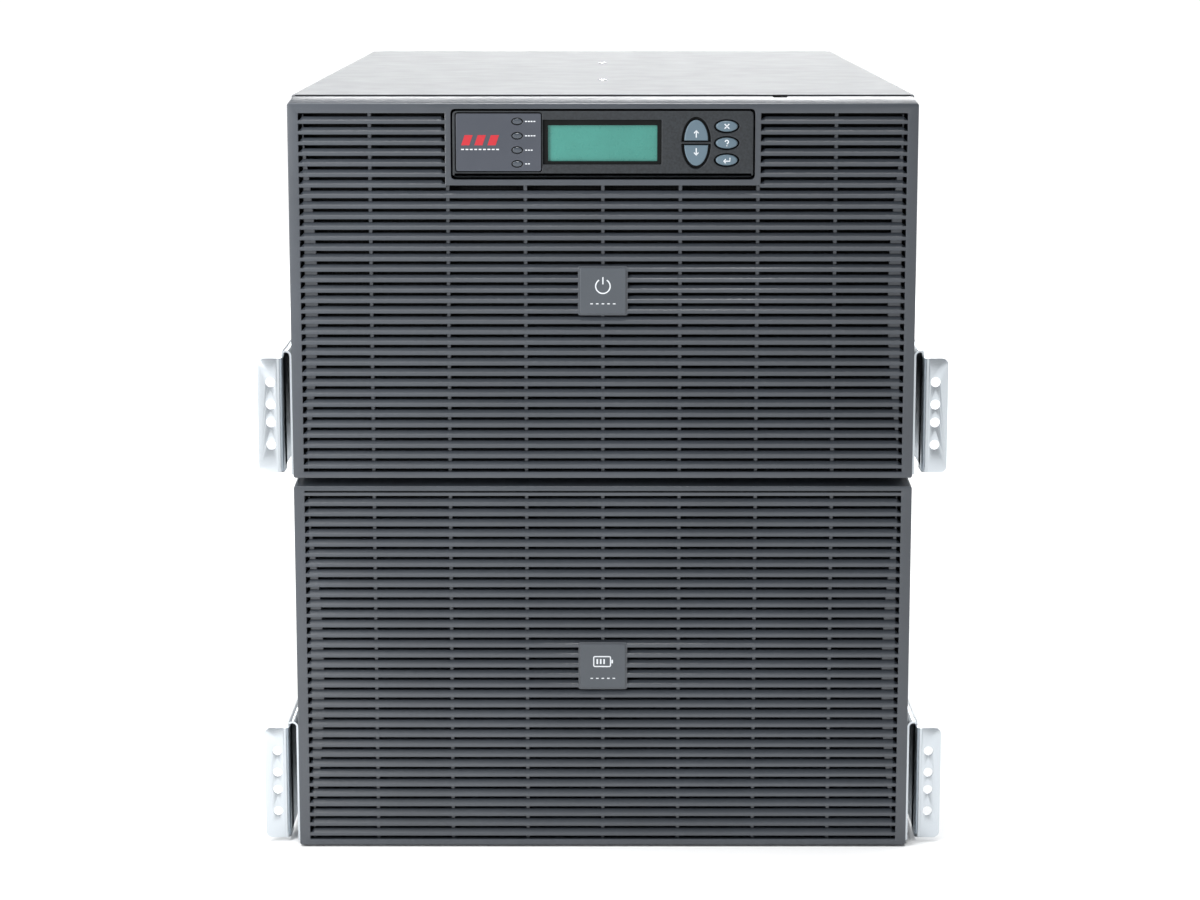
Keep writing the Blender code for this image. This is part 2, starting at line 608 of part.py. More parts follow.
def make_breaker(unit, x, level):
    """Breaker body in the rear panel, with a lever on a crosswise axis. Returns its panel cutter."""
    front, back = CHASSIS_REAR - 60, CHASSIS_REAR + 1.5
    half_x, half_z = BREAKER_HALF
    slot_x, slot_z = BREAKER_SLOT_HALF
    lever_x, lever_z = LEVER_HALF
    body = box(unit + "_breaker", (x - half_x, front, level - half_z), (x + half_x, back, level + half_z),
               "breaker_plastic")
    cut(body, box(unit + "_breaker_slot", (x - slot_x, CHASSIS_REAR - 11, level - slot_z),
                  (x + slot_x, back + 1, level + slot_z)))
    lever = box(unit + "_breaker_lever", (x - lever_x, CHASSIS_REAR - 7, level - lever_z),
                (x + lever_x, back - 0.3, level + lever_z), "lever_plastic")
    join(lever, box(unit + "_lever_grip", (x - lever_x, CHASSIS_REAR - 3, level + lever_z - 3.0),
                    (x + lever_x, CHASSIS_REAR + 5.6, level + lever_z - 0.4)))
    return panel_cutout(unit + "_breaker_cutout", x, half_x, level - half_z, level + half_z)


def make_battery_socket(unit, x, level):
    """Two-pole battery connector with two deep wells. Returns its panel cutter."""
    half_x, half_z = SOCKET_HALF
    well_x, well_z = SOCKET_WELL_HALF
    body = box(unit + "_socket", (x - half_x, CHASSIS_REAR - 24, level - half_z),
               (x + half_x, CHASSIS_REAR + 4, level + half_z), "socket_plastic")
    wells = []
    for side in (-1, 1):
        middle = x + side * SOCKET_WELL_OFFSET
        wells.append(((middle - well_x, CHASSIS_REAR - 14, level - well_z),
                      (middle + well_x, CHASSIS_REAR + 5, level + well_z)))
    cut(body, boxes(unit + "_socket_wells", wells))
    return panel_cutout(unit + "_socket_cutout", x, half_x, level - half_z, level + half_z)


def make_outlets(base):
    """Block of mains outlets with one well for each plug. Returns its panel cutter."""
    low, high = base + OUTLET_LEVELS[0], base + OUTLET_LEVELS[1]
    half_x, half_z = OUTLET_WELL_HALF
    block = box("outlet_block", (OUTLET_X[0], CHASSIS_REAR - 26, low),
                (OUTLET_X[1], CHASSIS_REAR + 2, high), "socket_plastic")
    wells = []
    for x in OUTLET_COLUMNS:
        for z in OUTLET_ROWS:
            wells.append(((x - half_x, CHASSIS_REAR - 14, base + z - half_z),
                          (x + half_x, CHASSIS_REAR + 3, base + z + half_z)))
    cut(block, boxes("outlet_wells", wells))
    middle, half = sum(OUTLET_X) / 2, (OUTLET_X[1] - OUTLET_X[0]) / 2
    return panel_cutout("outlet_cutout", middle, half, low, high)


def make_network_card(base):
    """Plug-in management card with one port. Returns its panel cutter."""
    low, high = base + CARD_LEVELS[0], base + CARD_LEVELS[1]
    card = box("network_card", (CARD_X[0], CHASSIS_REAR - CARD_DEPTH, low),
               (CARD_X[1], CHASSIS_REAR + 1.2, high), "sheet_steel")
    cut(card, box("network_port", (PORT_X[0], CHASSIS_REAR - 12, base + PORT_LEVELS[0]),
                  (PORT_X[1], CHASSIS_REAR + 2, base + PORT_LEVELS[1])))
    middle, half = sum(CARD_X) / 2, (CARD_X[1] - CARD_X[0]) / 2
    return panel_cutout("network_cutout", middle, half, low, high)


def make_ups_rear(base):
    """Rear fittings of the power unit. Returns the cutters for the rear panel."""
    fans = [(x, base + FAN_LEVEL) for x in FAN_X]
    box("terminal_cover", (TERMINAL_X[0], CHASSIS_REAR + GAP, base + TERMINAL_LEVELS[0]),
        (TERMINAL_X[1], CHASSIS_REAR + 6.0, base + TERMINAL_LEVELS[1]), "sheet_light", bevel=1.2)
    return [
        cylinders("fan_cutouts", fans, FAN_BORE, CHASSIS_REAR - 3, CHASSIS_REAR + 1, sides=28),
        make_breaker("ups_input", UPS_BREAKER[0], base + UPS_BREAKER[1]),
        make_battery_socket("ups_battery", UPS_SOCKET[0], base + UPS_SOCKET[1]),
        make_outlets(base),
        make_network_card(base),
    ]


# ---------------------------------------------------------------- battery unit


def make_tray(index, sign, low, high):
    """Closed battery case behind a front plate, which carries a pull handle and a two-pole connector."""
    near, far = sorted((sign * TRAY_X[0], sign * TRAY_X[1]))
    middle = (near + far) / 2
    level = (low + high) / 2
    plate_back = TRAY_FRONT + TRAY_PLATE
    box(f"battery_tray_{index}", (near, plate_back + GAP, low), (far, TRAY_FRONT + TRAY_LENGTH, high),
        "sheet_steel")
    plate = box(f"tray_front_{index}", (near, TRAY_FRONT, low), (far, plate_back, high), "black_steel")

    grip_front = TRAY_FRONT - HANDLE_REACH
    handle = box(f"tray_handle_{index}", (middle - HANDLE_HALF, grip_front, level + HANDLE_LEVELS[0]),
                 (middle + HANDLE_HALF, TRAY_FRONT + 1, level + HANDLE_LEVELS[1]))
    gap_half = HANDLE_HALF - HANDLE_BAR
    cut(handle, box(f"tray_handle_gap_{index}",
                    (middle - gap_half, grip_front + HANDLE_BAR, level + HANDLE_LEVELS[0] - 4),
                    (middle + gap_half, TRAY_FRONT, level + HANDLE_LEVELS[1] + 4)))

    plug_front = TRAY_FRONT - PLUG_REACH
    plug = box(f"tray_plug_{index}", (middle - PLUG_HALF, plug_front, level + PLUG_LEVELS[0]),
               (middle + PLUG_HALF, TRAY_FRONT + 1, level + PLUG_LEVELS[1]))
    wells = []
    for side in (-1, 1):
        x = middle + side * PLUG_WELL_OFFSET
        wells.append(((x - PLUG_WELL_HALF, plug_front - 1, level + PLUG_LEVELS[0] + PLUG_WALL),
                      (x + PLUG_WELL_HALF, TRAY_FRONT - PLUG_BACK, level + PLUG_LEVELS[1] - PLUG_WALL)))
    cut(plug, boxes(f"tray_plug_wells_{index}", wells))
    join(plate, handle, plug)


def make_battery_inside(base):
    """Shelf, two layers of two trays (1 and 2 above, 3 and 4 below) and the board they plug into."""
    shelf_half = HALF_WIDTH - SHEET - GAP
    shelf = base + SHELF_LEVEL
    box("battery_shelf", (-shelf_half, CHASSIS_FRONT + 4, shelf), (shelf_half, SHELF_REAR, shelf + SHEET),
        "sheet_steel")
    lower = (base + FLOOR_LEVEL + SHEET + TRAY_LIFT, shelf - TRAY_HEADROOM)
    upper = (shelf + SHEET + TRAY_LIFT, base + ROOF_LEVEL - SHEET - TRAY_HEADROOM)
    index = 1
    for low, high in (upper, lower):
        for sign in (-1, 1):
            make_tray(index, sign, low, high)
            index += 1

    board = box("battery_backplane", (-BACKPLANE_X, BACKPLANE_FRONT, base + BACKPLANE_LEVELS[0]),
                (BACKPLANE_X, BACKPLANE_FRONT + 2, base + BACKPLANE_LEVELS[1]), "circuit_board")
    blocks = []
    for low, high in (upper, lower):
        for sign in (-1, 1):
            x, z = sign * sum(TRAY_X) / 2, (low + high) / 2
            blocks.append(((x - 20, BACKPLANE_FRONT - 10, z - 14), (x + 20, BACKPLANE_FRONT + 1, z + 14)))
    join(board, boxes("backplane_blocks", blocks))


# ---------------------------------------------------------------- rails


def make_front_rail(name, sign, base):
    """Inverted channel beside the enclosure, a ledge below it, and a flange bent out at the front."""
    middle = (RAIL_INNER_X + RAIL_OUTER_X) / 2
    outer = (RAIL_OUTER_X - RAIL_INNER_X) / 2
    inner = outer - RAIL_WALL
    arc_level = base + RAIL_ARC_LEVEL
    outline = [(RAIL_OUTER_X, base + 6)]
    outline += arc(middle, arc_level, outer, 0, 180, 8)
    outline += [(RAIL_INNER_X, base), (RAIL_INNER_X + RAIL_WALL, base)]
    outline += arc(middle, arc_level, inner, 180, 0, 8)
    outline += [(RAIL_OUTER_X - RAIL_WALL, base + 6)]
    mirrored = [(sign * x, z) for x, z in outline]
    rail = prism(name, mirrored, "y", RAIL_CHANNEL_FRONT, RAIL_FRONT_END, "zinc", smooth=True)

    near, far = sorted((sign * LEDGE_INNER_X, sign * (RAIL_INNER_X + RAIL_WALL / 2)))
    ledge = box(name + "_ledge", (near, BEZEL_BACK + 2, base), (far, RAIL_FRONT_END, base + LEDGE))
    join(rail, ledge, make_flange(name, sign, base))
    cut(rail, flange_holes(name, sign, base, RAIL_FRONT))


def make_flange(name, sign, base):
    """L-shaped front end: the flange, its bend and a lap along the channel's outer wall."""
    bend = 4.0
    tip, front, back = FLANGE_HALF_WIDTH, RAIL_FRONT, RAIL_FRONT + RAIL_WALL
    wall_in, wall_out = RAIL_OUTER_X - RAIL_WALL, RAIL_OUTER_X
    outline = [(tip, back), (tip, front), (wall_in + bend, front)]
    outline += arc(wall_in + bend, front + bend, bend, 270, 180, 5)[1:]
    outline += [(wall_in, RAIL_CHANNEL_FRONT + 12), (wall_out, RAIL_CHANNEL_FRONT + 12)]
    outline += arc(wall_in + bend, front + bend, bend - RAIL_WALL, 180, 270, 5)
    mirrored = [(sign * x, y) for x, y in outline]
    low, high = base + FLANGE_LEVELS[0], base + FLANGE_LEVELS[1]
    flange = prism(name + "_flange", mirrored, "z", low, high)
    round_flange_corners(flange, 4.0)
    return flange


def round_flange_corners(flange, radius):
    """Rounds the two corners at the flange's outer end."""
    mesh_builder = bmesh.new()
    mesh_builder.from_mesh(flange.data)
    chosen = []
    for edge in mesh_builder.edges:
        first, second = (vertex.co for vertex in edge.verts)
        along_y = abs(first.x - second.x) < 1e-6 and abs(first.z - second.z) < 1e-6
        if along_y and abs(first.x) > (FLANGE_HALF_WIDTH - 0.1) * MM:
            chosen.append(edge)
    bmesh.ops.bevel(mesh_builder, geom=chosen, offset=radius * MM, segments=4, profile=0.5, affect="EDGES")
    mesh_builder.to_mesh(flange.data)
    mesh_builder.free()


def flange_holes(name, sign, base, front):
    centres = [(sign * HOLE_COLUMN_X, base + height) for height in HOLE_HEIGHTS]
    return cylinders(name + "_holes", centres, HOLE_RADIUS, front - 2, front + 4, sides=14)


def make_rear_rail(name, sign, base):
    """Flat bar that slides in the front rail's channel, with its own ledge and rear flange."""
    inner, outer = SLIDER_X
    low, high = sorted((sign * inner, sign * outer))
    rail = box(name, (low, RAIL_REAR_START, base + SLIDER_LEVELS[0]),
               (high, RAIL_REAR_END, base + SLIDER_LEVELS[1]), "zinc")
    foot = box(name + "_foot", (low, RAIL_REAR_LEDGE_START, base),
               (high, RAIL_REAR_END, base + SLIDER_LEVELS[0] + 1))
    near, far = sorted((sign * LEDGE_INNER_X, sign * (inner + 0.5)))
    ledge = box(name + "_ledge", (near, RAIL_REAR_LEDGE_START, base), (far, RAIL_REAR_END, base + LEDGE))
    near, far = sorted((sign * (inner + 0.5), sign * FLANGE_HALF_WIDTH))
    flange = box(name + "_flange", (near, RAIL_REAR_END - REAR_FLANGE, base + FLANGE_LEVELS[0]),
                 (far, RAIL_REAR_END, base + FLANGE_LEVELS[1]))
    round_flange_corners(flange, 4.0)
    join(rail, foot, ledge, flange)
    cut(rail, flange_holes(name, sign, base, RAIL_REAR_END - REAR_FLANGE))


# ---------------------------------------------------------------- assembly

BATTERY_BASE = 0.0
UPS_BASE = ENCLOSURE_PITCH

make_shell("battery", BATTERY_BASE)
make_shell("ups", UPS_BASE)
make_bezel("battery", BATTERY_BASE, with_pocket=False)
make_bezel("ups", UPS_BASE, with_pocket=True)
make_display(UPS_BASE)
make_front_panel(UPS_BASE)
make_power_electronics(UPS_BASE)
make_fan_housing(UPS_BASE)
for number, fan_x in enumerate(FAN_X, start=1):
    make_rotor(number, fan_x, UPS_BASE)
make_rear_panel("ups", UPS_BASE, make_ups_rear(UPS_BASE))
make_battery_inside(BATTERY_BASE)
make_rear_panel("battery", BATTERY_BASE, [
    make_breaker("battery", BATTERY_BREAKER[0], BATTERY_BASE + BATTERY_BREAKER[1]),
    make_battery_socket("battery_pack", BATTERY_SOCKET[0], BATTERY_BASE + BATTERY_SOCKET[1]),
])
for level_name, rail_base in (("lower", BATTERY_BASE), ("upper", UPS_BASE)):
    for side_name, side_sign in (("left", -1), ("right", 1)):
        make_front_rail(f"rail_front_{level_name}_{side_name}", side_sign, rail_base)
        make_rear_rail(f"rail_rear_{level_name}_{side_name}", side_sign, rail_base)
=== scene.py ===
"""Looks of the rackmount UPS stack: detailed surfaces, materials, light and camera.

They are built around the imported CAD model. Lengths are written in millimetres and turned into metres by
MM, except in the camera, the lights and the floor. +Z is up and the fronts face -Y.
"""

import json
import math

import bmesh
import bpy
from mathutils import Matrix, Vector


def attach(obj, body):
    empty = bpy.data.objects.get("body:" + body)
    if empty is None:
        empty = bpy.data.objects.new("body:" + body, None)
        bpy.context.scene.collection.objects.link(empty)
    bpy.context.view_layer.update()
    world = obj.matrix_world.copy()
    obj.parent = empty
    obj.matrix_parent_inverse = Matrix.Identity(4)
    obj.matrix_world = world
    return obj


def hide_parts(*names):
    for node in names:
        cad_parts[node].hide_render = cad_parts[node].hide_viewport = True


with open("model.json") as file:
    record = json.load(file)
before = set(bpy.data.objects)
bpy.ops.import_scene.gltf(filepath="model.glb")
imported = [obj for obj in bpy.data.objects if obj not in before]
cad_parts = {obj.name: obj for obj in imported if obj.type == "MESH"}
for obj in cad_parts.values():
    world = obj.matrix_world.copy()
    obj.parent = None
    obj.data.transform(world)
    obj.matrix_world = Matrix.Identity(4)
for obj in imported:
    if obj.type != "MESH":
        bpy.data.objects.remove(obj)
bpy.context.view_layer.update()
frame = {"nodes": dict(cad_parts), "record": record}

MM = 0.001
RACK_PITCH = 266.7  # height of one enclosure's place in the rack
HALF_WIDTH = 216.0
BEZEL_FRONT = -378.0
BEZEL_BACK = -342.0
BEZEL_BOTTOM = 0.8
BEZEL_EDGE = 261.6  # front top edge; drops below are measured down from it
BEZEL_TOP = 264.6
CHASSIS_FRONT = -341.6
CHASSIS_REAR = 374.0
ROOF = 265.4

SLOT_COUNT = 35
SLOT_PITCH = 7.27
FIRST_SLOT_DROP = 8.0
SLOT_HEIGHT = 2.4
FRAME_SIDE = 7.5
BAR_DEPTH = 7.0
RIB_FRONT = 3.6
RIB_PITCH = 53.35
WEB_GAP = 2.6
WEB_WIDEST = 11.2
BADGE_DROP = 129.0
BADGE_SEAT = 17.2
BADGE_HALF = 15.9
POCKET_HALF = 104.1
POCKET_DROPS = (3.8, 52.1)
POCKET_RIM = 4.1
POCKET_DEPTH = 14.0
LATCH_X = (118.0, 128.0)
GROOVE_DROPS = (3.1, 4.5)

SMOOTH_ANGLE = 20.0  # degrees; steeper edges stay sharp
ROUND_ANGLE = 40.0  # the same for bent steel and fan blades
WIRE_SIDES = 8

DISPLAY_FRONT = -379.4
KEY_FRONT = -380.0
DISPLAY_HALF = 102.9
DISPLAY_DROPS = (5.3, 50.9)


# ------ materials


def new_material(name):
    material = bpy.data.materials.new(name)
    material.use_nodes = True
    nodes, links = material.node_tree.nodes, material.node_tree.links
    return material, nodes, links, nodes["Principled BSDF"]


def set_inputs(node, values):
    for name, value in values.items():
        node.inputs[name].default_value = value


def noise(nodes, links, scale, detail=3.0, stretch=(1.0, 1.0, 1.0)):
    """Noise texture on object coordinates, which are the frame's own metres."""
    place = nodes.new("ShaderNodeTexCoord")
    mapping = nodes.new("ShaderNodeMapping")
    mapping.inputs["Scale"].default_value = stretch
    texture = nodes.new("ShaderNodeTexNoise")
    set_inputs(texture, {"Scale": scale, "Detail": detail})
    links.new(place.outputs["Object"], mapping.inputs["Vector"])
    links.new(mapping.outputs["Vector"], texture.inputs["Vector"])
    return texture.outputs["Fac"]


def blend_colours(nodes, links, factor, dark, light):
    ramp = nodes.new("ShaderNodeValToRGB")
    for stop, position, colour in zip(ramp.color_ramp.elements, (0.35, 0.65), (dark, light)):
        stop.position = position
        stop.color = (*colour, 1.0)
    links.new(factor, ramp.inputs["Fac"])
    return ramp.outputs["Color"]


def remap(nodes, links, value, low, high):
    mapper = nodes.new("ShaderNodeMapRange")
    set_inputs(mapper, {"From Min": 0.3, "From Max": 0.7, "To Min": low, "To Max": high})
    links.new(value, mapper.inputs["Value"])
    return mapper.outputs["Result"]


def surface(name, colour, roughness, metallic=0.0, mottle=0.06, mottle_scale=14.0, grain=0.0,
            grain_scale=900.0, rough_spread=0.06, stretch=(1.0, 1.0, 1.0), coat=0.0, coat_roughness=0.12,
            specular=0.5, emission=0.0):
    """Principled surface with mottled colour, uneven roughness and a fine grain as bump."""
    material, nodes, links, shader = new_material(name)
    patches = noise(nodes, links, mottle_scale, 4.0, stretch)
    dark = tuple(max(channel * (1 - mottle), 0.0) for channel in colour)
    light = tuple(min(channel * (1 + mottle), 1.0) for channel in colour)
    tint = blend_colours(nodes, links, patches, dark, light)
    links.new(tint, shader.inputs["Base Color"])
    wear = noise(nodes, links, mottle_scale * 6.0, 3.0, stretch)
    spread = remap(nodes, links, wear, roughness - rough_spread, roughness + rough_spread)
    links.new(spread, shader.inputs["Roughness"])
    set_inputs(shader, {"Metallic": metallic, "Coat Weight": coat, "Coat Roughness": coat_roughness,
                        "Specular IOR Level": specular})
    if emission:
        links.new(tint, shader.inputs["Emission Color"])
        shader.inputs["Emission Strength"].default_value = emission
    if grain:
        fine = noise(nodes, links, grain_scale, 2.0, stretch)
        bump = nodes.new("ShaderNodeBump")
        set_inputs(bump, {"Strength": 0.6, "Distance": grain * MM})
        links.new(fine, bump.inputs["Height"])
        links.new(bump.outputs["Normal"], shader.inputs["Normal"])
    return material


def srgb(red, green, blue):
    """Linear colour from the 0 to 255 values of a colour card."""
    return tuple(((value / 255 + 0.055) / 1.055) ** 2.4 for value in (red, green, blue))


# Colour on a colour card, roughness, and what differs from the defaults of surface().
SURFACES = {
    "bezel_plastic": ((60, 65, 72), 0.42, dict(mottle=0.07, grain=0.03, grain_scale=1500, coat=0.6,
                                               coat_roughness=0.20)),
    "badge_plastic": ((76, 81, 87), 0.36, dict(grain=0.02, grain_scale=2200)),
    "display_plastic": ((36, 40, 44), 0.52, dict(mottle=0.30, mottle_scale=620, grain=0.14,
                                                 grain_scale=1000)),
    "label_plastic": ((67, 71, 80), 0.40, dict(grain=0.02, grain_scale=2500)),
    "key_rubber": ((92, 111, 123), 0.45, dict(grain=0.03, grain_scale=1800)),
    # Near-black fill behind the key holes and the gap round the label: painted shade.
    "key_well": ((10, 11, 13), 0.60, dict(grain=0.02)),
    "lcd_glass": ((61, 133, 122), 0.30, dict(mottle=0.03, mottle_scale=60, coat=0.2, emission=0.08)),
    "lcd_frame": ((10, 12, 12), 0.70, dict(grain=0.02, specular=0.2)),
    "led_lens": ((62, 69, 78), 0.18, dict(coat=0.6)),
    "white_print": ((222, 226, 230), 0.55, dict(mottle=0.02)),
    "red_print": ((186, 34, 46), 0.50, dict(mottle=0.04)),
    "sheet_light": ((137, 139, 141), 0.50, dict(mottle=0.03, mottle_scale=6, grain=0.012, grain_scale=650,
                                                rough_spread=0.04, specular=0.14)),
    "sheet_steel": ((160, 164, 168), 0.36, dict(metallic=0.9, mottle=0.12, mottle_scale=40, grain=0.01)),
    "battery_case": ((92, 94, 98), 0.42, dict(mottle=0.05, grain=0.02, metallic=0.3)),
    "black_steel": ((20, 21, 23), 0.50, dict(grain=0.03, grain_scale=900)),
    # Dark foam for the rear vent filters; the pads behind the louvres and the strip before the cover's edge
    # use it as painted shade.
    "filter_foam": ((15, 15, 16), 0.85, dict(mottle=0.2, mottle_scale=200)),
    "wire_screen": ((7, 7, 8), 0.75, dict(grain=0.02)),
    "zinc": ((200, 206, 211), 0.25, dict(metallic=0.85, mottle=0.02, mottle_scale=12, grain=0.003,
                                         grain_scale=300, rough_spread=0.02)),
    "chrome_wire": ((206, 208, 210), 0.20, dict(metallic=1.0, mottle=0.03)),
    "circuit_board": ((24, 92, 50), 0.45, dict(mottle=0.15, mottle_scale=90)),
    "aluminium": ((96, 98, 100), 0.42, dict(metallic=1.0, stretch=(1, 12, 1), grain=0.01)),
    "capacitor_sleeve": ((28, 34, 62), 0.32, dict()),
    "copper": ((170, 98, 58), 0.36, dict(metallic=0.9, mottle=0.15, mottle_scale=80)),
    "fan_plastic": ((26, 26, 28), 0.45, dict(grain=0.02)),
    "socket_plastic": ((28, 28, 30), 0.42, dict(grain=0.03)),
    "breaker_plastic": ((46, 46, 49), 0.42, dict(grain=0.03)),
    "lever_plastic": ((186, 186, 184), 0.40, dict(grain=0.02)),
    "brass": ((190, 160, 90), 0.30, dict(metallic=1.0, mottle=0.05)),
}
MATERIALS = {name: surface(name, srgb(*card), roughness, **extra)
             for name, (card, roughness, extra) in SURFACES.items()}


# ------ mesh helpers


def point(x, y, z):
    return Vector((x * MM, y * MM, z * MM))


def add_object(name, data):
    holder = bpy.data.objects.new(name, data)
    bpy.context.scene.collection.objects.link(holder)
    return holder


def close_mesh(name, bm):
    """New mesh from a bmesh, with its faces pointing out."""
    bmesh.ops.recalc_face_normals(bm, faces=bm.faces[:])
    mesh = bpy.data.meshes.new(name)
    bm.to_mesh(mesh)
    bm.free()
    return mesh


def shade(mesh, angle=SMOOTH_ANGLE):
    mesh.shade_smooth()
    mesh.set_sharp_from_angle(angle=math.radians(angle))


def make_piece(name, bm, material, body="chassis", replaced=(), smooth_angle=SMOOTH_ANGLE):
    """Turns a bmesh into a named piece with the given material, riding on a body.
    """
    mesh = close_mesh(name, bm)
    mesh.materials.append(MATERIALS[material])
    shade(mesh, smooth_angle)
    piece = add_object(name, mesh)
    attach(piece, body)
    if replaced:
        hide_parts(*replaced)
    return piece


def add_box(bm, low, high, bevel=0.0, segments=2):
    """Box between two corners in millimetres, with rounded edges where bevel is given."""
    cube = bmesh.new()
    for vertex in bmesh.ops.create_cube(cube, size=1.0)["verts"]:
        picks = [high[i] if vertex.co[i] > 0 else low[i] for i in range(3)]
        vertex.co = Vector(picks) * MM
    if bevel:
        bmesh.ops.bevel(cube, geom=cube.edges[:], offset=bevel * MM, segments=segments, profile=0.5,
                        affect="EDGES")
    append(bm, cube)


def append(bm, other):
    """Copies one bmesh into another and frees it."""
    scratch = bpy.data.meshes.new("scratch")
    other.to_mesh(scratch)
    other.free()
    bm.from_mesh(scratch)
    bpy.data.meshes.remove(scratch)


def loft(bm, sections, ring=False):
    """Skins equal point lists given in metres; a ring joins its last section to its first."""
    rows = [[bm.verts.new(spot) for spot in section] for section in sections]
    count = len(rows[0])
    pairs = list(zip(rows, rows[1:]))
    if ring:
        pairs.append((rows[-1], rows[0]))
    for first, second in pairs:
        for index in range(count):
            after = (index + 1) % count
            bm.faces.new((first[index], first[after], second[after], second[index]))
    if not ring:
        bm.faces.new(rows[0])
        bm.faces.new(list(reversed(rows[-1])))


def rounded_loop(left, right, bottom, top, radius, steps=3):
    """Corners-rounded rectangle as (x, z) pairs, the same number of points for any size."""
    spots = []
    corners = ((right, top, 0), (left, top, 90), (left, bottom, 180), (right, bottom, 270))
    for x, z, start in corners:
        centre_x = x - math.copysign(radius, x - (left + right) / 2)
        centre_z = z - math.copysign(radius, z - (bottom + top) / 2)
        for step in range(steps + 1):
            angle = math.radians(start + 90 * step / steps)
            spots.append((centre_x + radius * math.cos(angle), centre_z + radius * math.sin(angle)))
    return spots


def ellipse(x, z, semi_x, semi_z, steps=40, start=0.0, end=360.0):
    whole = end - start >= 360.0
    spots = []
    for step in range(steps + (0 if whole else 1)):
        angle = math.radians(start + (end - start) * step / steps)
        spots.append((x + semi_x * math.cos(angle), z + semi_z * math.sin(angle)))
    return spots


def flat_mesh(name, outline, holes, front, back, bevel=0.0, facing="front"):
    """Flat plate in X and Z with holes, its front face at y = front, as a mesh with rounded rims.

    facing "top" lays it in X and Y instead, with front as its lower and back as its upper level.
    """
    curve = bpy.data.curves.new(name, "CURVE")
    curve.dimensions = "2D"
    curve.fill_mode = "BOTH"
    curve.extrude = (abs(back - front) / 2 - bevel) * MM
    curve.bevel_depth = bevel * MM
    curve.bevel_resolution = 1
    curve.offset = -bevel * MM
    for loop in [outline, *holes]:
        spline = curve.splines.new("POLY")
        spline.points.add(len(loop) - 1)
        for spot, (a, b) in zip(spline.points, loop):
            spot.co = (a * MM, b * MM, 0.0, 1.0)
        spline.use_cyclic_u = True
    holder = add_object(name, curve)
    bpy.context.view_layer.update()
    evaluated = holder.evaluated_get(bpy.context.evaluated_depsgraph_get())
    mesh = bpy.data.meshes.new_from_object(evaluated)
    bpy.data.objects.remove(holder)
    bpy.data.curves.remove(curve)
    middle = (front + back) / 2 * MM
    if facing == "front":
        mesh.transform(Matrix.Translation((0, middle, 0)) @ Matrix.Rotation(math.radians(90), 4, "X"))
    else:
        mesh.transform(Matrix.Translation((0, 0, middle)))
    bm = bmesh.new()
    bm.from_mesh(mesh)
    bmesh.ops.remove_doubles(bm, verts=bm.verts[:], dist=1e-6)
    bpy.data.meshes.remove(mesh)
    return bm


def add_plate(bm, outline, holes, front, back, bevel=0.0):
    append(bm, flat_mesh("plate", outline, holes, front, back, bevel))


def lathe(bm, centre, profile, axis="y", sides=24):
    """Turned shape: profile is (radius, distance along the axis), open ends closed to points."""
    sections = []
    for radius, distance in profile:
        section = []
        for step in range(sides):
            angle = 2 * math.pi * step / sides
            a, b = radius * math.cos(angle), radius * math.sin(angle)
            if axis == "y":
                section.append(point(centre[0] + a, centre[1] + distance, centre[2] + b))
            elif axis == "z":
                section.append(point(centre[0] + a, centre[1] + b, centre[2] + distance))
            else:
                section.append(point(centre[0] + distance, centre[1] + a, centre[2] + b))
        sections.append(section)
    loft(bm, sections)


def add_ring(bm, centre, radius, tube):
    """Wire ring that lies in the X-Z plane."""
    sides = 48
    sections = []
    for step in range(sides):
        angle = 2 * math.pi * step / sides
        section = []
        for part in range(WIRE_SIDES):
            turn = 2 * math.pi * part / WIRE_SIDES
            reach = radius + tube * math.cos(turn)
            section.append(point(centre[0] + reach * math.cos(angle), centre[1] + tube * math.sin(turn),
                                 centre[2] + reach * math.sin(angle)))
        sections.append(section)
    loft(bm, sections, ring=True)


def add_wire(bm, start, end, radius):
    """Straight round wire between two points in millimetres."""
    first, last = Vector(start) * MM, Vector(end) * MM
    side = (last - first).orthogonal().normalized()
    other = (last - first).cross(side).normalized()
    turns = [2 * math.pi * part / WIRE_SIDES for part in range(WIRE_SIDES)]
    sections = []
    for centre in (first, last):
        sections.append([centre + (side * math.cos(turn) + other * math.sin(turn)) * radius * MM
                         for turn in turns])
    loft(bm, sections)


def arc(x, z, radius, start, end, steps):
    """Points along a circular arc between two angles in degrees, both ends included."""
    return ellipse(x, z, radius, radius, steps, start, end)


def add_screw(bm, centre, direction, radius=3.2, height=1.4):
    """Low domed screw head with a recessed hexagon, standing on a face along -y, +y, +x, -x or +z."""
    profile = [(radius, 0.0), (radius, height * 0.35), (radius * 0.86, height * 0.8),
               (radius * 0.55, height), (radius * 0.42, height), (radius * 0.40, height * 0.35),
               (0.05, height * 0.30)]
    sign = 1 if direction[0] == "+" else -1
    turned = [(size, sign * distance) for size, distance in profile]
    lathe(bm, centre, turned, axis=direction[1], sides=18)


def make_screws(name, spots, direction, body="chassis", **size):
    """One piece with a screw head at each of the spots."""
    bm = bmesh.new()
    for spot in spots:
        add_screw(bm, spot, direction, **size)
    make_piece(name, bm, "zinc", body=body)


# ------ bezels


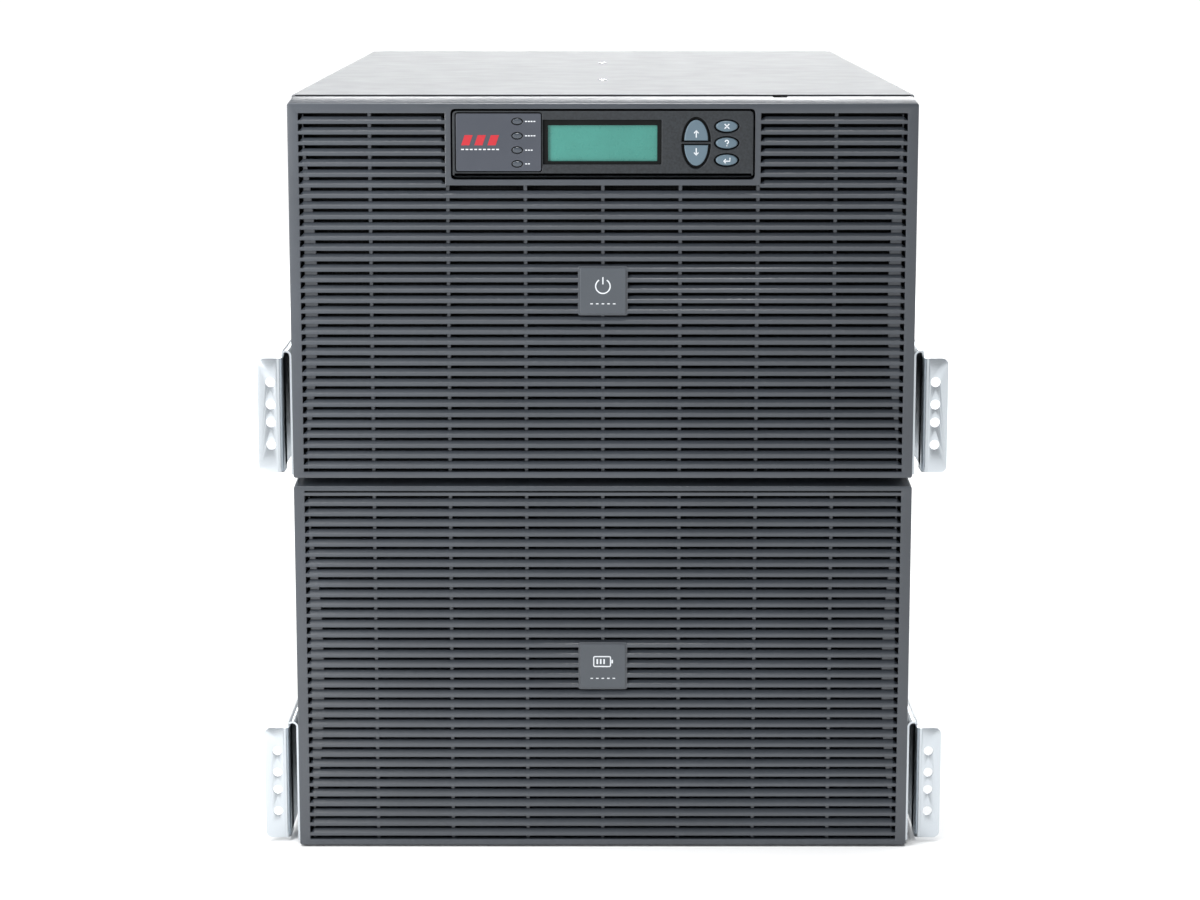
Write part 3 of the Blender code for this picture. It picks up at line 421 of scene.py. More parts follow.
def add_bezel_frame(bm, base):
    """Picture-frame body of a bezel: rounded rim, slot-side walls and the hollow back."""
    drop_top = FIRST_SLOT_DROP - SLOT_HEIGHT / 2
    last_slot = FIRST_SLOT_DROP + (SLOT_COUNT - 1) * SLOT_PITCH + SLOT_HEIGHT / 2
    drop_bottom = BEZEL_EDGE - BEZEL_BOTTOM - last_slot
    borders = (FRAME_SIDE, drop_top, drop_bottom)
    rim = 0.9
    profile = [
        ((0, 0, 0), BEZEL_BACK), ((0, 0, 0), BEZEL_FRONT + rim),
        ((0.12, 0.12, 0.12), BEZEL_FRONT + rim * 0.45), ((0.42, 0.42, 0.42), BEZEL_FRONT + rim * 0.12),
        ((rim, rim, rim), BEZEL_FRONT),
        (tuple(border - 0.45 for border in borders), BEZEL_FRONT),
        (tuple(border - 0.12 for border in borders), BEZEL_FRONT + 0.14),
        (borders, BEZEL_FRONT + 0.45),
        (borders, BEZEL_FRONT + BAR_DEPTH + 2.5),
        ((3, 3, 3), BEZEL_FRONT + BAR_DEPTH + 3.5),
        ((3, 3, 3), BEZEL_BACK),
    ]
    sections = []
    for (side, top, bottom), y in profile:
        rise = (BEZEL_TOP - BEZEL_EDGE) * (y - BEZEL_FRONT) / (BEZEL_BACK - BEZEL_FRONT)
        radius = max(1.6 - side, 0.25)
        loop = rounded_loop(side - HALF_WIDTH, HALF_WIDTH - side, base + BEZEL_BOTTOM + bottom,
                            base + BEZEL_EDGE + rise - top, radius)
        sections.append([point(x, y, z) for x, z in loop])
    loft(bm, sections, ring=True)


def add_bar(bm, left, right, bottom):
    """One louvre: an upright front lip with a slope above it that is mitred away at its ends."""
    lip, top, slope_back = 2.45, SLOT_PITCH - SLOT_HEIGHT, 2.7
    full = [(BAR_DEPTH, 0.0), (0.30, 0.0), (0.0, 0.30), (0.0, lip - 0.35), (0.25, lip),
            (slope_back, top - 0.15), (slope_back + 0.5, top), (BAR_DEPTH, top)]
    mitred = [(depth, min(height, lip)) for depth, height in full]
    mitre, lap = 2.6, 0.6
    stations = [(left - lap, mitred), (left, mitred), (left + mitre, full),
                (right - mitre, full), (right, mitred), (right + lap, mitred)]
    sections = [[point(x, BEZEL_FRONT + depth, bottom + height) for depth, height in shape]
                for x, shape in stations]
    loft(bm, sections)


def add_web(bm, sign, base, low_drop, high_drop):
    """Solid web behind the bar ends; its free edge is an arc that is widest at half height."""
    edge = base + BEZEL_EDGE
    steps = 24
    outer = HALF_WIDTH - FRAME_SIDE - WEB_GAP
    outline = [(sign * outer, edge - high_drop), (sign * outer, edge - low_drop)]
    for step in range(steps + 1):
        along = step / steps
        width = max(WEB_WIDEST * (1.0 - (2 * along - 1) ** 2) - WEB_GAP, 0.4)
        outline.append((sign * (outer - width), edge - low_drop - (high_drop - low_drop) * along))
    add_plate(bm, outline, [], BEZEL_FRONT + RIB_FRONT, BEZEL_FRONT + BAR_DEPTH + 1.5)


def add_screen(bm, base, top_drop):
    """Woven dust screen behind the ribs, as upright and level wires."""
    pitch, wire, y = 2.6, 0.5, BEZEL_FRONT + BAR_DEPTH + 2.9
    low, high = base + BEZEL_BOTTOM + 4, base + BEZEL_EDGE - top_drop
    half = HALF_WIDTH - 5
    columns = int(2 * half / pitch)
    for column in range(columns + 1):
        x = -half + column * pitch
        add_box(bm, (x - wire / 2, y, low), (x + wire / 2, y + wire, high))
    rows = int((high - low) / pitch)
    for row in range(rows + 1):
        z = low + row * pitch
        add_box(bm, (-half, y + wire, z - wire / 2), (half, y + 2 * wire, z + wire / 2))


def make_louvre_shade_pad(unit, base, with_pocket):
    """Dark foam sheet behind the dust screen, with side pads beside the display pocket: painted shade for
    the shaded inside of the enclosure seen through the louvres.
    """
    edge = base + BEZEL_EDGE
    half = HALF_WIDTH - 8
    low, top = base + BEZEL_BOTTOM + 5, edge - 6
    if with_pocket:
        front, thickness = BEZEL_FRONT + POCKET_DEPTH + 0.3, 3.0
        side = POCKET_HALF + POCKET_RIM + 1
        shelf = edge - DISPLAY_DROPS[1] - 1
        pads = [(-half, half, low, shelf), (-half, -side, shelf + 0.2, top), (side, half, shelf + 0.2, top)]
    else:
        # A thin sheet, because the battery tray handles stand close behind this bezel.
        front, thickness = BEZEL_FRONT + 11.1, 0.7
        pads = [(-half, half, low, top)]
    bm = bmesh.new()
    for left, right, bottom, high in pads:
        add_box(bm, (left, front, bottom), (right, front + thickness, high))
    make_piece(unit + "_louvre_shade_pad", bm, "filter_foam", body=unit + "_bezel")


def pocket_loop(edge):
    return rounded_loop(-POCKET_HALF, POCKET_HALF, edge - POCKET_DROPS[1], edge - POCKET_DROPS[0], 2.6)


def make_bezel(unit, base, with_pocket):
    edge = base + BEZEL_EDGE
    body = unit + "_bezel"
    inner = HALF_WIDTH - FRAME_SIDE
    rim_half = POCKET_HALF + POCKET_RIM
    rim_drop = POCKET_DROPS[1] + POCKET_RIM
    bm = bmesh.new()
    add_bezel_frame(bm, base)
    for row in range(SLOT_COUNT - 1):
        slot = FIRST_SLOT_DROP + row * SLOT_PITCH + SLOT_HEIGHT / 2
        bottom = edge - slot - (SLOT_PITCH - SLOT_HEIGHT)
        if with_pocket and slot < rim_drop - 1.5:
            add_bar(bm, -inner, -rim_half, bottom)
            add_bar(bm, rim_half, inner, bottom)
        else:
            add_bar(bm, -inner, inner, bottom)
    last_drop = FIRST_SLOT_DROP + (SLOT_COUNT - 1) * SLOT_PITCH + SLOT_HEIGHT / 2
    for index in range(-3, 4):
        x = index * RIB_PITCH
        start = rim_drop if with_pocket and abs(x) < rim_half else FIRST_SLOT_DROP - 2
        add_box(bm, (x - 1.25, BEZEL_FRONT + RIB_FRONT, edge - last_drop - 1),
                (x + 1.25, BEZEL_FRONT + BAR_DEPTH + 2.4, edge - start), bevel=0.25, segments=1)
    for sign in (-1, 1):
        add_web(bm, sign, base, FIRST_SLOT_DROP, last_drop)
    level = edge - BADGE_DROP
    seat = rounded_loop(-BADGE_SEAT, BADGE_SEAT, level - BADGE_SEAT, level + BADGE_SEAT, 1.5)
    add_plate(bm, seat, [], BEZEL_FRONT + 0.15, BEZEL_FRONT + 5, bevel=0.3)
    if with_pocket:
        outline = rounded_loop(-rim_half, rim_half, edge - rim_drop, edge - 1.2, 0.6)
        add_plate(bm, outline, [pocket_loop(edge)], BEZEL_FRONT, BEZEL_FRONT + POCKET_DEPTH, bevel=0.4)
    bezel = make_piece(body + "_shell", bm, "bezel_plastic", replaced=(unit + "_front_bezel",), body=body)
    cut_bezel(bezel, edge, with_pocket)

    screen = bmesh.new()
    add_screen(screen, base, rim_drop + 1 if with_pocket else 8)
    make_piece(unit + "_dust_screen", screen, "wire_screen", body=body)
    make_louvre_shade_pad(unit, base, with_pocket)
    make_badge(unit, base)


def cut_bezel(bezel, edge, with_pocket):
    """Opens the display pocket and latch notch in the upper bezel, and a thin groove in the lower one."""
    bm = bmesh.new()
    if with_pocket:
        add_plate(bm, pocket_loop(edge), [], BEZEL_FRONT - 5, BEZEL_BACK + 5)
        add_box(bm, (LATCH_X[0], BEZEL_BACK - 9, edge - 1.5), (LATCH_X[1], BEZEL_BACK + 2, edge + 8))
    else:
        add_box(bm, (FRAME_SIDE - HALF_WIDTH, BEZEL_FRONT - 2, edge - GROOVE_DROPS[1]),
                (HALF_WIDTH - FRAME_SIDE, BEZEL_FRONT + 5, edge - GROOVE_DROPS[0]))
    cutter = add_object("bezel_cutter", close_mesh("bezel_cutter", bm))
    step = bezel.modifiers.new("cut", "BOOLEAN")
    step.operation = "DIFFERENCE"
    step.solver = "EXACT"
    step.use_self = True
    step.object = cutter
    bpy.context.view_layer.update()
    evaluated = bezel.evaluated_get(bpy.context.evaluated_depsgraph_get())
    cut = bpy.data.meshes.new_from_object(evaluated)
    bezel.modifiers.clear()
    bezel.data = cut
    bpy.data.objects.remove(cutter)
    shade(cut)


def make_badge(unit, base):
    """Square plate with bevelled rim; its marks are a generic symbol and plain lines."""
    level = base + BEZEL_EDGE - BADGE_DROP
    front = BEZEL_FRONT - 0.6
    outline = rounded_loop(-BADGE_HALF, BADGE_HALF, level - BADGE_HALF, level + BADGE_HALF, 1.2)
    bm = flat_mesh("badge", outline, [], front, BEZEL_FRONT + 0.9, bevel=0.45)
    make_piece(unit + "_badge_plate", bm, "badge_plastic",
               replaced=(unit + "_bezel_badge",), body=unit + "_bezel")
    marks = bmesh.new()
    if unit == "ups":
        ring = ellipse(0, level + 3.2, 5.0, 5.0, 36, 122, 418)
        add_stroke(marks, ring, 0.85, front)
        add_stroke(marks, [(0, level + 4.5), (0, level + 9.6)], 0.85, front)
    else:
        outline = rounded_loop(-6.4, 5.4, level - 0.4, level + 6.8, 0.8)
        add_stroke(marks, outline + outline[:1], 0.8, front)
        add_stroke(marks, [(6.6, level + 1.9), (6.6, level + 4.5)], 1.1, front)
        for x in (-3.9, -1.5, 0.9):
            add_stroke(marks, [(x, level + 1.4), (x, level + 5.0)], 1.1, front)
    for index in range(5):
        x = (index - 2) * 3.9
        add_stroke(marks, [(x - 0.9, level - 9.0), (x + 0.9, level - 9.0)], 0.7, front)
    make_piece(unit + "_badge_marks", marks, "white_print", body=unit + "_bezel")


def add_stroke(bm, spots, width, front, lift=0.06):
    """Flat printed line of even width along (x, z) spots, just proud of y = front."""
    count = len(spots)
    sides = []
    for index in range(count):
        before = Vector(spots[max(index - 1, 0)])
        after = Vector(spots[min(index + 1, count - 1)])
        along = (after - before).normalized()
        across = Vector((-along.y, along.x)) * width / 2
        here = Vector(spots[index])
        sides.append((here + across, here - across))
    sections = []
    for first, second in sides:
        sections.append([point(first.x, front - lift, first.y), point(second.x, front - lift, second.y),
                         point(second.x, front + 0.05, second.y), point(first.x, front + 0.05, first.y)])
    loft(bm, sections)


# ------ display unit

LABEL_X = (-100.5, -42.3)
LABEL_DROPS = (6.9, 46.3)
LCD_X = (-41.1, 40.1)
LCD_DROPS = (11.2, 41.7)
LED_X = -58.6
LED_DROPS = (12.3, 22.1, 31.9, 41.3)
ARROWS = (63.8, 26.9)
OVALS = {"escape": 15.6, "help": 27.1, "enter": 38.7}
OVAL_X = 84.7


def half_egg(x, z, semi_x, semi_z, upward):
    """Half ellipse with a flat side, standing on it or hanging from it."""
    start = 0 if upward else 180
    return ellipse(x, z, semi_x, semi_z, 28, start, start + 180)


def make_display():
    edge = RACK_PITCH + BEZEL_EDGE
    low, high = edge - DISPLAY_DROPS[1], edge - DISPLAY_DROPS[0]
    outline = rounded_loop(-DISPLAY_HALF, DISPLAY_HALF, low, high, 2.6, 5)
    holes = [rounded_loop(LCD_X[0], LCD_X[1], edge - LCD_DROPS[1], edge - LCD_DROPS[0], 0.6)]
    holes += [ellipse(OVAL_X, edge - drop, 8.7, 4.7) for drop in OVALS.values()]
    x, z = ARROWS[0], edge - ARROWS[1]
    holes += [half_egg(x, z + 0.7, 10.0, 17.0, True), half_egg(x, z - 0.7, 10.0, 17.0, False)]
    holes.append(rounded_loop(LABEL_X[0] - 0.6, LABEL_X[1] + 0.6, edge - LABEL_DROPS[1] - 0.6,
                              edge - LABEL_DROPS[0] + 0.6, 1.6))
    bm = flat_mesh("display_face", outline, holes, DISPLAY_FRONT, DISPLAY_FRONT + 4.5, bevel=0.5)
    for vertex in bm.verts:
        if vertex.co.z < (low + 1.2) * MM and vertex.co.y < (DISPLAY_FRONT + 2) * MM:
            vertex.co.z += 2.2 * MM
    shell_hole = rounded_loop(3 - DISPLAY_HALF, DISPLAY_HALF - 3, low + 3, high - 3, 1.2, 5)
    add_plate(bm, outline, [shell_hole], DISPLAY_FRONT + 4.4, BEZEL_BACK - 0.2, bevel=0.2)
    make_piece("display_case", bm, "display_plastic", replaced=("display_housing",))

    # Near-black sheet behind the key holes: painted shade, standing in for the shadow in the deep gaps round
    # the keys.
    well = bmesh.new()
    add_box(well, (50, DISPLAY_FRONT + 4.6, low + 3.4), (97, DISPLAY_FRONT + 5.4, high - 3.4))
    make_piece("key_gap_shade", well, "key_well")
    make_label(edge)
    make_lcd(edge)
    make_keys(edge)


def make_label(edge):
    front = DISPLAY_FRONT - 0.05
    outline = rounded_loop(LABEL_X[0], LABEL_X[1], edge - LABEL_DROPS[1], edge - LABEL_DROPS[0], 1.3)
    holes = [ellipse(LED_X, edge - drop, 4.0, 2.6, 28) for drop in LED_DROPS]
    bm = flat_mesh("label", outline, holes, front, front + 1.3, bevel=0.25)
    make_piece("display_label", bm, "label_plastic", replaced=("display_label_plate",))
    # Near-black sheet behind the label plate, seen through the narrow gap round it: painted shade for the
    # dark groove.
    groove_shade = bmesh.new()
    add_box(groove_shade, (LABEL_X[0] + 0.2, front + 1.4, edge - LABEL_DROPS[1] + 0.2),
            (LABEL_X[1] - 0.2, front + 2.2, edge - LABEL_DROPS[0] - 0.2))
    make_piece("label_groove_shade", groove_shade, "key_well")
    lamps = bmesh.new()
    for drop in LED_DROPS:
        add_dome(lamps, LED_X, edge - drop, 3.3, 1.95, front + 1.5, front - 0.1)
    make_piece("led_lenses", lamps, "led_lens", replaced=("led_light_pipes",))

    ticks = bmesh.new()
    for drop, length in zip(LED_DROPS, (8.6, 7.8, 7.2, 5.6)):
        pieces = int(length / 1.9)
        for index in range(pieces):
            start = LED_X + 5.4 + index * 1.9
            add_stroke(ticks, [(start, edge - drop), (start + 1.3, edge - drop)], 0.75, front)
    for index in range(9):
        start = -97.0 + index * 3.0
        add_stroke(ticks, [(start, edge - 31.4), (start + 1.9, edge - 31.4)], 0.8, front)
    make_piece("label_ticks", ticks, "white_print")
    emblem = bmesh.new()
    for index in range(3):
        start = -97.0 + index * 9.0
        bottom, top = edge - 28.6, edge - 21.6
        shape = [(start, bottom), (start + 5.6, bottom), (start + 8.0, top), (start + 2.4, top)]
        add_plate(emblem, shape, [], front - 0.07, front + 0.05)
    make_piece("label_emblem", emblem, "red_print")


def add_dome(bm, x, z, semi_x, semi_z, back, front):
    """Oval button or lens: straight sides with a rounded shoulder up to a gently domed face."""
    height = back - front
    sections = []
    for share, rise in ((1.0, 0.0), (1.0, 0.6), (0.96, 0.82), (0.86, 0.94), (0.55, 0.99), (0.2, 1.0)):
        loop = ellipse(x, z, semi_x * share, semi_z * share, 40)
        sections.append([point(a, back - height * rise, b) for a, b in loop])
    loft(bm, sections)


def make_lcd(edge):
    left, right = LCD_X
    low, high = edge - LCD_DROPS[1], edge - LCD_DROPS[0]
    frame_front, glass = DISPLAY_FRONT + 1.2, DISPLAY_FRONT + 2.9
    window = rounded_loop(left + 3.5, right - 2.9, low + 2.1, high - 3.8, 0.3)
    rim = rounded_loop(left - 0.5, right + 0.5, low - 0.5, high + 0.5, 0.5)
    bm = flat_mesh("lcd_bezel", rim, [window], frame_front, glass + 0.6)
    make_piece("lcd_surround", bm, "lcd_frame", replaced=("lcd_module",))
    pane = bmesh.new()
    add_plate(pane, rounded_loop(left + 2, right - 2, low + 1, high - 2, 0.3), [], glass, glass + 0.9)
    make_piece("lcd_pane", pane, "lcd_glass", replaced=("lcd_window",))


# Strokes printed on each key, from the key's centre, or from the arrow keys' shared centre.
KEY_MARKS = {
    "up": [[(0, 3.6), (0, 8.0)], [(-1.5, 6.6), (0, 8.4), (1.5, 6.6)]],
    "down": [[(0, -3.6), (0, -8.0)], [(-1.5, -6.6), (0, -8.4), (1.5, -6.6)]],
    "escape": [[(-1.6, -1.6), (1.6, 1.6)], [(-1.6, 1.6), (1.6, -1.6)]],
    "help": [ellipse(0, 0.9, 1.1, 1.1, 12, -60, 180)[::-1] + [(0, -0.7)], [(0, -1.5), (0, -2.1)]],
    "enter": [[(2.2, 1.7), (2.2, -0.7), (-1.9, -0.7)], [(-0.6, 0.7), (-2.1, -0.7), (-0.6, -2.1)]],
}


def make_keys(edge):
    back = DISPLAY_FRONT + 3.2
    x, z = ARROWS[0], edge - ARROWS[1]
    caps = {}
    for name, drop in OVALS.items():
        caps[name] = bmesh.new()
        add_dome(caps[name], OVAL_X, edge - drop, 7.5, 3.75, back, KEY_FRONT)
    for name, shift in (("up", 1.6), ("down", -1.6)):
        outline = half_egg(x, z + shift, 8.1, 14.0, shift > 0)
        caps[name] = flat_mesh(name, outline, [], KEY_FRONT, back, bevel=0.6)
    for name, cap in caps.items():
        make_piece(name + "_key_cap", cap, "key_rubber", replaced=("key_" + name,), body=name + "_key")
    for name, strokes in KEY_MARKS.items():
        centre_x, centre_z = (OVAL_X, edge - OVALS[name]) if name in OVALS else (x, z)
        bm = bmesh.new()
        for stroke in strokes:
            spots = [(centre_x + across, centre_z + up) for across, up in stroke]
            add_stroke(bm, spots, 0.75, KEY_FRONT, lift=0.05)
        make_piece(name + "_key_symbol", bm, "white_print", body=name + "_key")


# ------ enclosures

FAN_X = (-155.0, -52.0, 51.0)
FAN_LEVEL = 200.0
FAN_BORE = 44.0
FAN_FRONT, FAN_BACK = 346.8, 372.2
BLADES = 7
SCREW_Y = (-300.0, -120.0, 60.0, 240.0, 350.0)

# Places on the rear panels, as centre and half width in X, then bottom and top above the enclosure.
OUTLET_BLOCK = (-126, 70, 22, 128)
CARD_PLACE = (158, 46, 226, 250)
SOCKET_HALF = (30, 14)
BREAKER_HALF = (27, 22)
UPS_SOCKET, UPS_BREAKER = (0, 30), (145, 150)
BATTERY_SOCKET, BATTERY_BREAKER = (0, 200), (120, 200)
OUTLET_X, OUTLET_LEVELS = (-172.0, -126.0, -80.0), (50, 100)
REAR_SCREW_X = (-206.0, -70.0, 70.0, 206.0)
TERMINAL_X, KNOCKOUT_X = (64, 206), (98.0, 135.0, 172.0)
GUARD_RADII = (9.0, 16.5, 24.0, 31.5, 39.0, 45.5)


def slot_grid(left, right, low, high, width, height, pitch_x, pitch_z):
    """Stadium-shaped slots that fill a rectangle."""
    slots = []
    columns = int((right - left - width) / pitch_x) + 1
    rows = int((high - low - height) / pitch_z) + 1
    start_x = (left + right - (columns - 1) * pitch_x) / 2
    start_z = (low + high - (rows - 1) * pitch_z) / 2
    for column in range(columns):
        for row in range(rows):
            x, z = start_x + column * pitch_x, start_z + row * pitch_z
            slots.append(rounded_loop(x - width / 2, x + width / 2, z - height / 2, z + height / 2,
                                      height / 2 - 0.01, 4))
    return slots


def make_cover(unit, base):
    """Folded top cover with chamfered rear corners, side lips and flush screws."""
    roof = base + ROOF
    half, corner = HALF_WIDTH, 10.0
    front = CHASSIS_FRONT
    outline = [(-half, front), (half, front), (half, CHASSIS_REAR - corner),
               (half - corner, CHASSIS_REAR), (corner - half, CHASSIS_REAR), (-half, CHASSIS_REAR - corner)]
    bm = flat_mesh("cover", outline, [], roof - 1.5, roof, bevel=0.35, facing="top")
    for sign in (-1, 1):
        low, high = sorted((sign * half, sign * (half + 0.6)))
        add_box(bm, (low, front + 0.5, roof - 13), (high, CHASSIS_REAR - corner, roof - 0.6),
                bevel=0.25)
    make_piece(unit + "_cover", bm, "sheet_light", replaced=(unit + "_top_cover",))
    # Thin near-black strip just in front of the cover's edge: painted shade, standing in for the shadow in
    # the gap between cover and bezel.
    gap_shade = bmesh.new()
    add_box(gap_shade, (2 - half, front - 0.35, roof - 1.8), (half - 2, front - 0.05, roof - 0.1), bevel=0.1)
    make_piece(unit + "_cover_gap_shade", gap_shade, "filter_foam")
    screws = bmesh.new()
    for y in (-152.0, 128.0):
        add_screw(screws, (0, y, roof - 0.2), "+z", radius=3.6, height=1.0)
    for sign, way in ((-1, "-x"), (1, "+x")):
        for y in SCREW_Y:
            add_screw(screws, (sign * (half + 0.5), y, roof - 7), way, radius=2.6, height=1.1)
            add_screw(screws, (sign * (half - 0.1), y, base + 100), way, radius=2.6, height=1.1)
    make_piece(unit + "_cover_screws", screws, "zinc")


def make_sides(unit, base):
    for side, sign in (("left", -1), ("right", 1)):
        low, high = sorted((sign * (HALF_WIDTH - 1.5), sign * HALF_WIDTH))
        bm = bmesh.new()
        add_box(bm, (low, CHASSIS_FRONT, base + 3.3), (high, CHASSIS_REAR - 0.2, base + ROOF - 1.6),
                bevel=0.4)
        make_piece(f"{unit}_side_{side}", bm, "sheet_light", replaced=(f"{unit}_{side}_side",))


def make_rear(unit, base, holes):
    """Rear panel with its openings, vent slots and the screws round its edge."""
    low, high, half = base + 3.4, base + ROOF - 1.9, HALF_WIDTH - 1.9
    outline = rounded_loop(-half, half, low, high, 1.0)
    bm = flat_mesh("rear", outline, holes, CHASSIS_REAR - 1.5, CHASSIS_REAR, bevel=0.25)
    make_piece(unit + "_rear", bm, "sheet_light", replaced=(unit + "_rear_panel",))
    spots = [(x, CHASSIS_REAR - 0.1, z) for x in REAR_SCREW_X for z in (low + 8, high - 7)]
    make_screws(unit + "_rear_screws", spots, "+y", radius=3.0)


def make_vent_filter(unit, left, right, low, high):
    """Pleated dark filter held behind the vent slots of the rear panel."""
    pleat, near, far = 4.0, CHASSIS_REAR - 9.0, CHASSIS_REAR - 4.5
    folds = int((high - low) / pleat)
    front = [(near + (far - near) * (fold % 2), low + fold * pleat) for fold in range(folds + 1)]
    outline = front + [(y - 1.2, z) for y, z in reversed(front)]
    bm = bmesh.new()
    loft(bm, [[point(x, y, z) for y, z in outline] for x in (left, right)])
    make_piece(unit + "_vent_filter", bm, "filter_foam")


def frame_hole(x, half_x, low, high, gap=0.3, radius=1.0):
    return rounded_loop(x - half_x - gap, x + half_x + gap, low - gap, high + gap, radius)


def make_fan_guard(index, x, level):
    """Wire finger guard with four lugs, in front of a fan."""
    y, wire = CHASSIS_REAR + 1.6, 0.9
    bm = bmesh.new()
    for radius in GUARD_RADII:
        add_ring(bm, (x, y, level), radius, wire)
    for sign_x in (-1, 1):
        for sign_z in (-1, 1):
            along = Vector((sign_x, sign_z)).normalized()
            near, far = along * 8, along * 58.3
            add_wire(bm, (x + near.x, y + 1.5, level + near.y), (x + far.x, y + 1.0, level + far.y),
                     wire)
            add_screw(bm, (x + far.x, y - 1.0, level + far.y), "+y", radius=3.4, height=3.0)
    make_piece(f"fan_guard_{index}", bm, "chrome_wire")


def make_rotor(index, x, level):
    """Fan rotor with a cupped hub and twisted, curved blades."""
    centre = (FAN_FRONT + FAN_BACK - 5) / 2
    bm = bmesh.new()
    lathe(bm, (x, centre, level), [(14.5, -9.2), (17.2, -8.7), (18.0, -7.4), (18.0, 9.2),
                                             (15.0, 9.2), (14.6, 8.2), (4.0, 8.2), (3.4, 8.8), (0.3, 8.8)],
          sides=36)
    for blade in range(BLADES):
        start = 2 * math.pi * blade / BLADES
        sections = []
        for step in range(6):
            share = step / 5
            radius = 17.5 + 24.0 * share
            pitch = math.radians(46 - 20 * share)
            chord = 8.0 + 3.5 * share
            upper, lower = [], []
            for place in (-1.0, -0.5, 0.0, 0.5, 1.0):
                bend = 1.6 * (1 - place * place)
                thick = 0.75 * (1 - 0.7 * place * place)
                angle = start + 0.35 * share + place * chord * math.cos(pitch) / radius
                depth = centre + place * chord * math.sin(pitch) * 0.8 + bend
                spot = (x + radius * math.cos(angle), level + radius * math.sin(angle))
                upper.append(point(spot[0], depth + thick, spot[1]))
                lower.append(point(spot[0], depth - thick, spot[1]))
            sections.append(upper + lower[::-1])
        loft(bm, sections)
    make_piece(f"rotor_blades_{index}", bm, "fan_plastic",
               replaced=(f"fan_rotor_{index}",), smooth_angle=ROUND_ANGLE, body=f"rotor_{index}")


def make_outlet_faces(base):
    """Face with three contact slots at the bottom of each outlet, and a rim round the block."""
    faces, metal = bmesh.new(), bmesh.new()
    for x in OUTLET_X:
        for z in (base + level for level in OUTLET_LEVELS):
            slots = [frame_hole(x + shift, 0.9, z + bottom, z + top, 0.1, 0.4)
                     for shift, bottom, top in ((-6, -4.2, 1.2), (6, -4.2, 1.2), (0, 1.2, 6.6))]
            face = rounded_loop(x - 13.8, x + 13.8, z - 10.8, z + 10.8, 1.5)
            add_plate(faces, face, slots, 360.2, 362.0, bevel=0.2)
            rim = frame_hole(x, 14.0, z - 11.0, z + 11.0, 0.0, 1.2)
            outline = frame_hole(x, 15.6, z - 12.6, z + 12.6, 0.0, 2.4)
            add_plate(faces, outline, [rim], 375.9, 376.9, bevel=0.3)
            add_box(metal, (x - 12, 360.05, z - 9), (x + 12, 360.3, z + 9))
    x, half, low, high = OUTLET_BLOCK
    outline = frame_hole(x, half, base + low, base + high, 2.5, 3)
    hole = frame_hole(x, half - 0.5, base + low + 0.5, base + high - 0.5, 0, 2)
    add_plate(faces, outline, [hole], 374.0, 376.4, bevel=0.4)
    make_piece("outlet_faces", faces, "socket_plastic")
    make_piece("outlet_contacts", metal, "brass")


def make_socket_trim(unit, x, level):
    """Contact blades in the two wells, and a flange with two screws."""
    blades, trim = bmesh.new(), bmesh.new()
    for side in (-1, 1):
        middle = x + side * 14
        add_box(blades, (middle - 1.6, 360.2, level - 5.5), (middle + 1.6, 370.5, level + 5.5), bevel=0.5)
    half_x, half_z = SOCKET_HALF
    hole = frame_hole(x, half_x, level - half_z, level + half_z, 0.05)
    add_plate(trim, frame_hole(x, 38, level - 15.5, level + 15.5, 0, 3), [hole], 374.1, 376.0, bevel=0.4)
    make_piece(unit + "_socket_blades", blades, "brass")
    make_piece(unit + "_socket_flange", trim, "black_steel")
    spots = [(x + side * 34.2, 375.9, level) for side in (-1, 1)]
    make_screws(unit + "_socket_screws", spots, "+y", radius=2.4, height=1.2)


def make_breaker_trim(unit, body, x, level, node):
    """Rim round the breaker's face, and a rounded rocking lever on its own body."""
    trim = bmesh.new()
    hole = frame_hole(x, 26.5, level - 21.5, level + 21.5, 0)
    add_plate(trim, frame_hole(x, 31, level - 25, level + 25, 0, 3), [hole], 374.1, 377.0, bevel=0.5)
    for middle in (x - 21.5, x + 21.5):
        add_box(trim, (middle - 1.8, 375.4, level - 12), (middle + 1.8, 376.3, level + 12), bevel=0.4)
    make_piece(unit + "_breaker_rim", trim, "breaker_plastic")
    lever = bmesh.new()
    add_box(lever, (x - 16.8, 367.2, level - 3.8), (x + 16.8, 375.1, level + 3.8), bevel=1.4, segments=3)
    add_box(lever, (x - 16.8, 371.2, level + 1.0), (x + 16.8, 379.5, level + 3.6), bevel=0.9, segments=3)
    for rib in range(-5, 6):
        middle = x + rib * 2.6
        add_box(lever, (middle - 0.5, 376.0, level + 3.2), (middle + 0.5, 379.2, level + 4.0), bevel=0.2)
    make_piece(unit + "_breaker_lever_cap", lever, "lever_plastic", replaced=(node,), body=body)


def make_terminal_cover(base):
    """Wiring cover with a rolled edge, cable knockouts and captive screws."""
    low, high = base + 18, base + 118
    bm = flat_mesh("terminal", rounded_loop(*TERMINAL_X, low, high, 3, 4), [], 374.35, 380.0, bevel=1.0)
    for x in KNOCKOUT_X:
        for radius in (14.0, 9.5):
            add_ring(bm, (x, 379.95, base + 52), radius, 0.45)
    for z in (84.0, 92.0, 100.0):
        add_box(bm, (84, 379.6, base + z - 1.3), (186, 380.6, base + z + 1.3), bevel=0.4)
    make_piece("terminal_lid", bm, "sheet_light", replaced=("terminal_cover",))
    spots = [(x, 379.8, z) for x in (71.0, 199.0) for z in (low + 8, high - 8)]
    make_screws("terminal_screws", spots, "+y", radius=3.2, height=1.6)


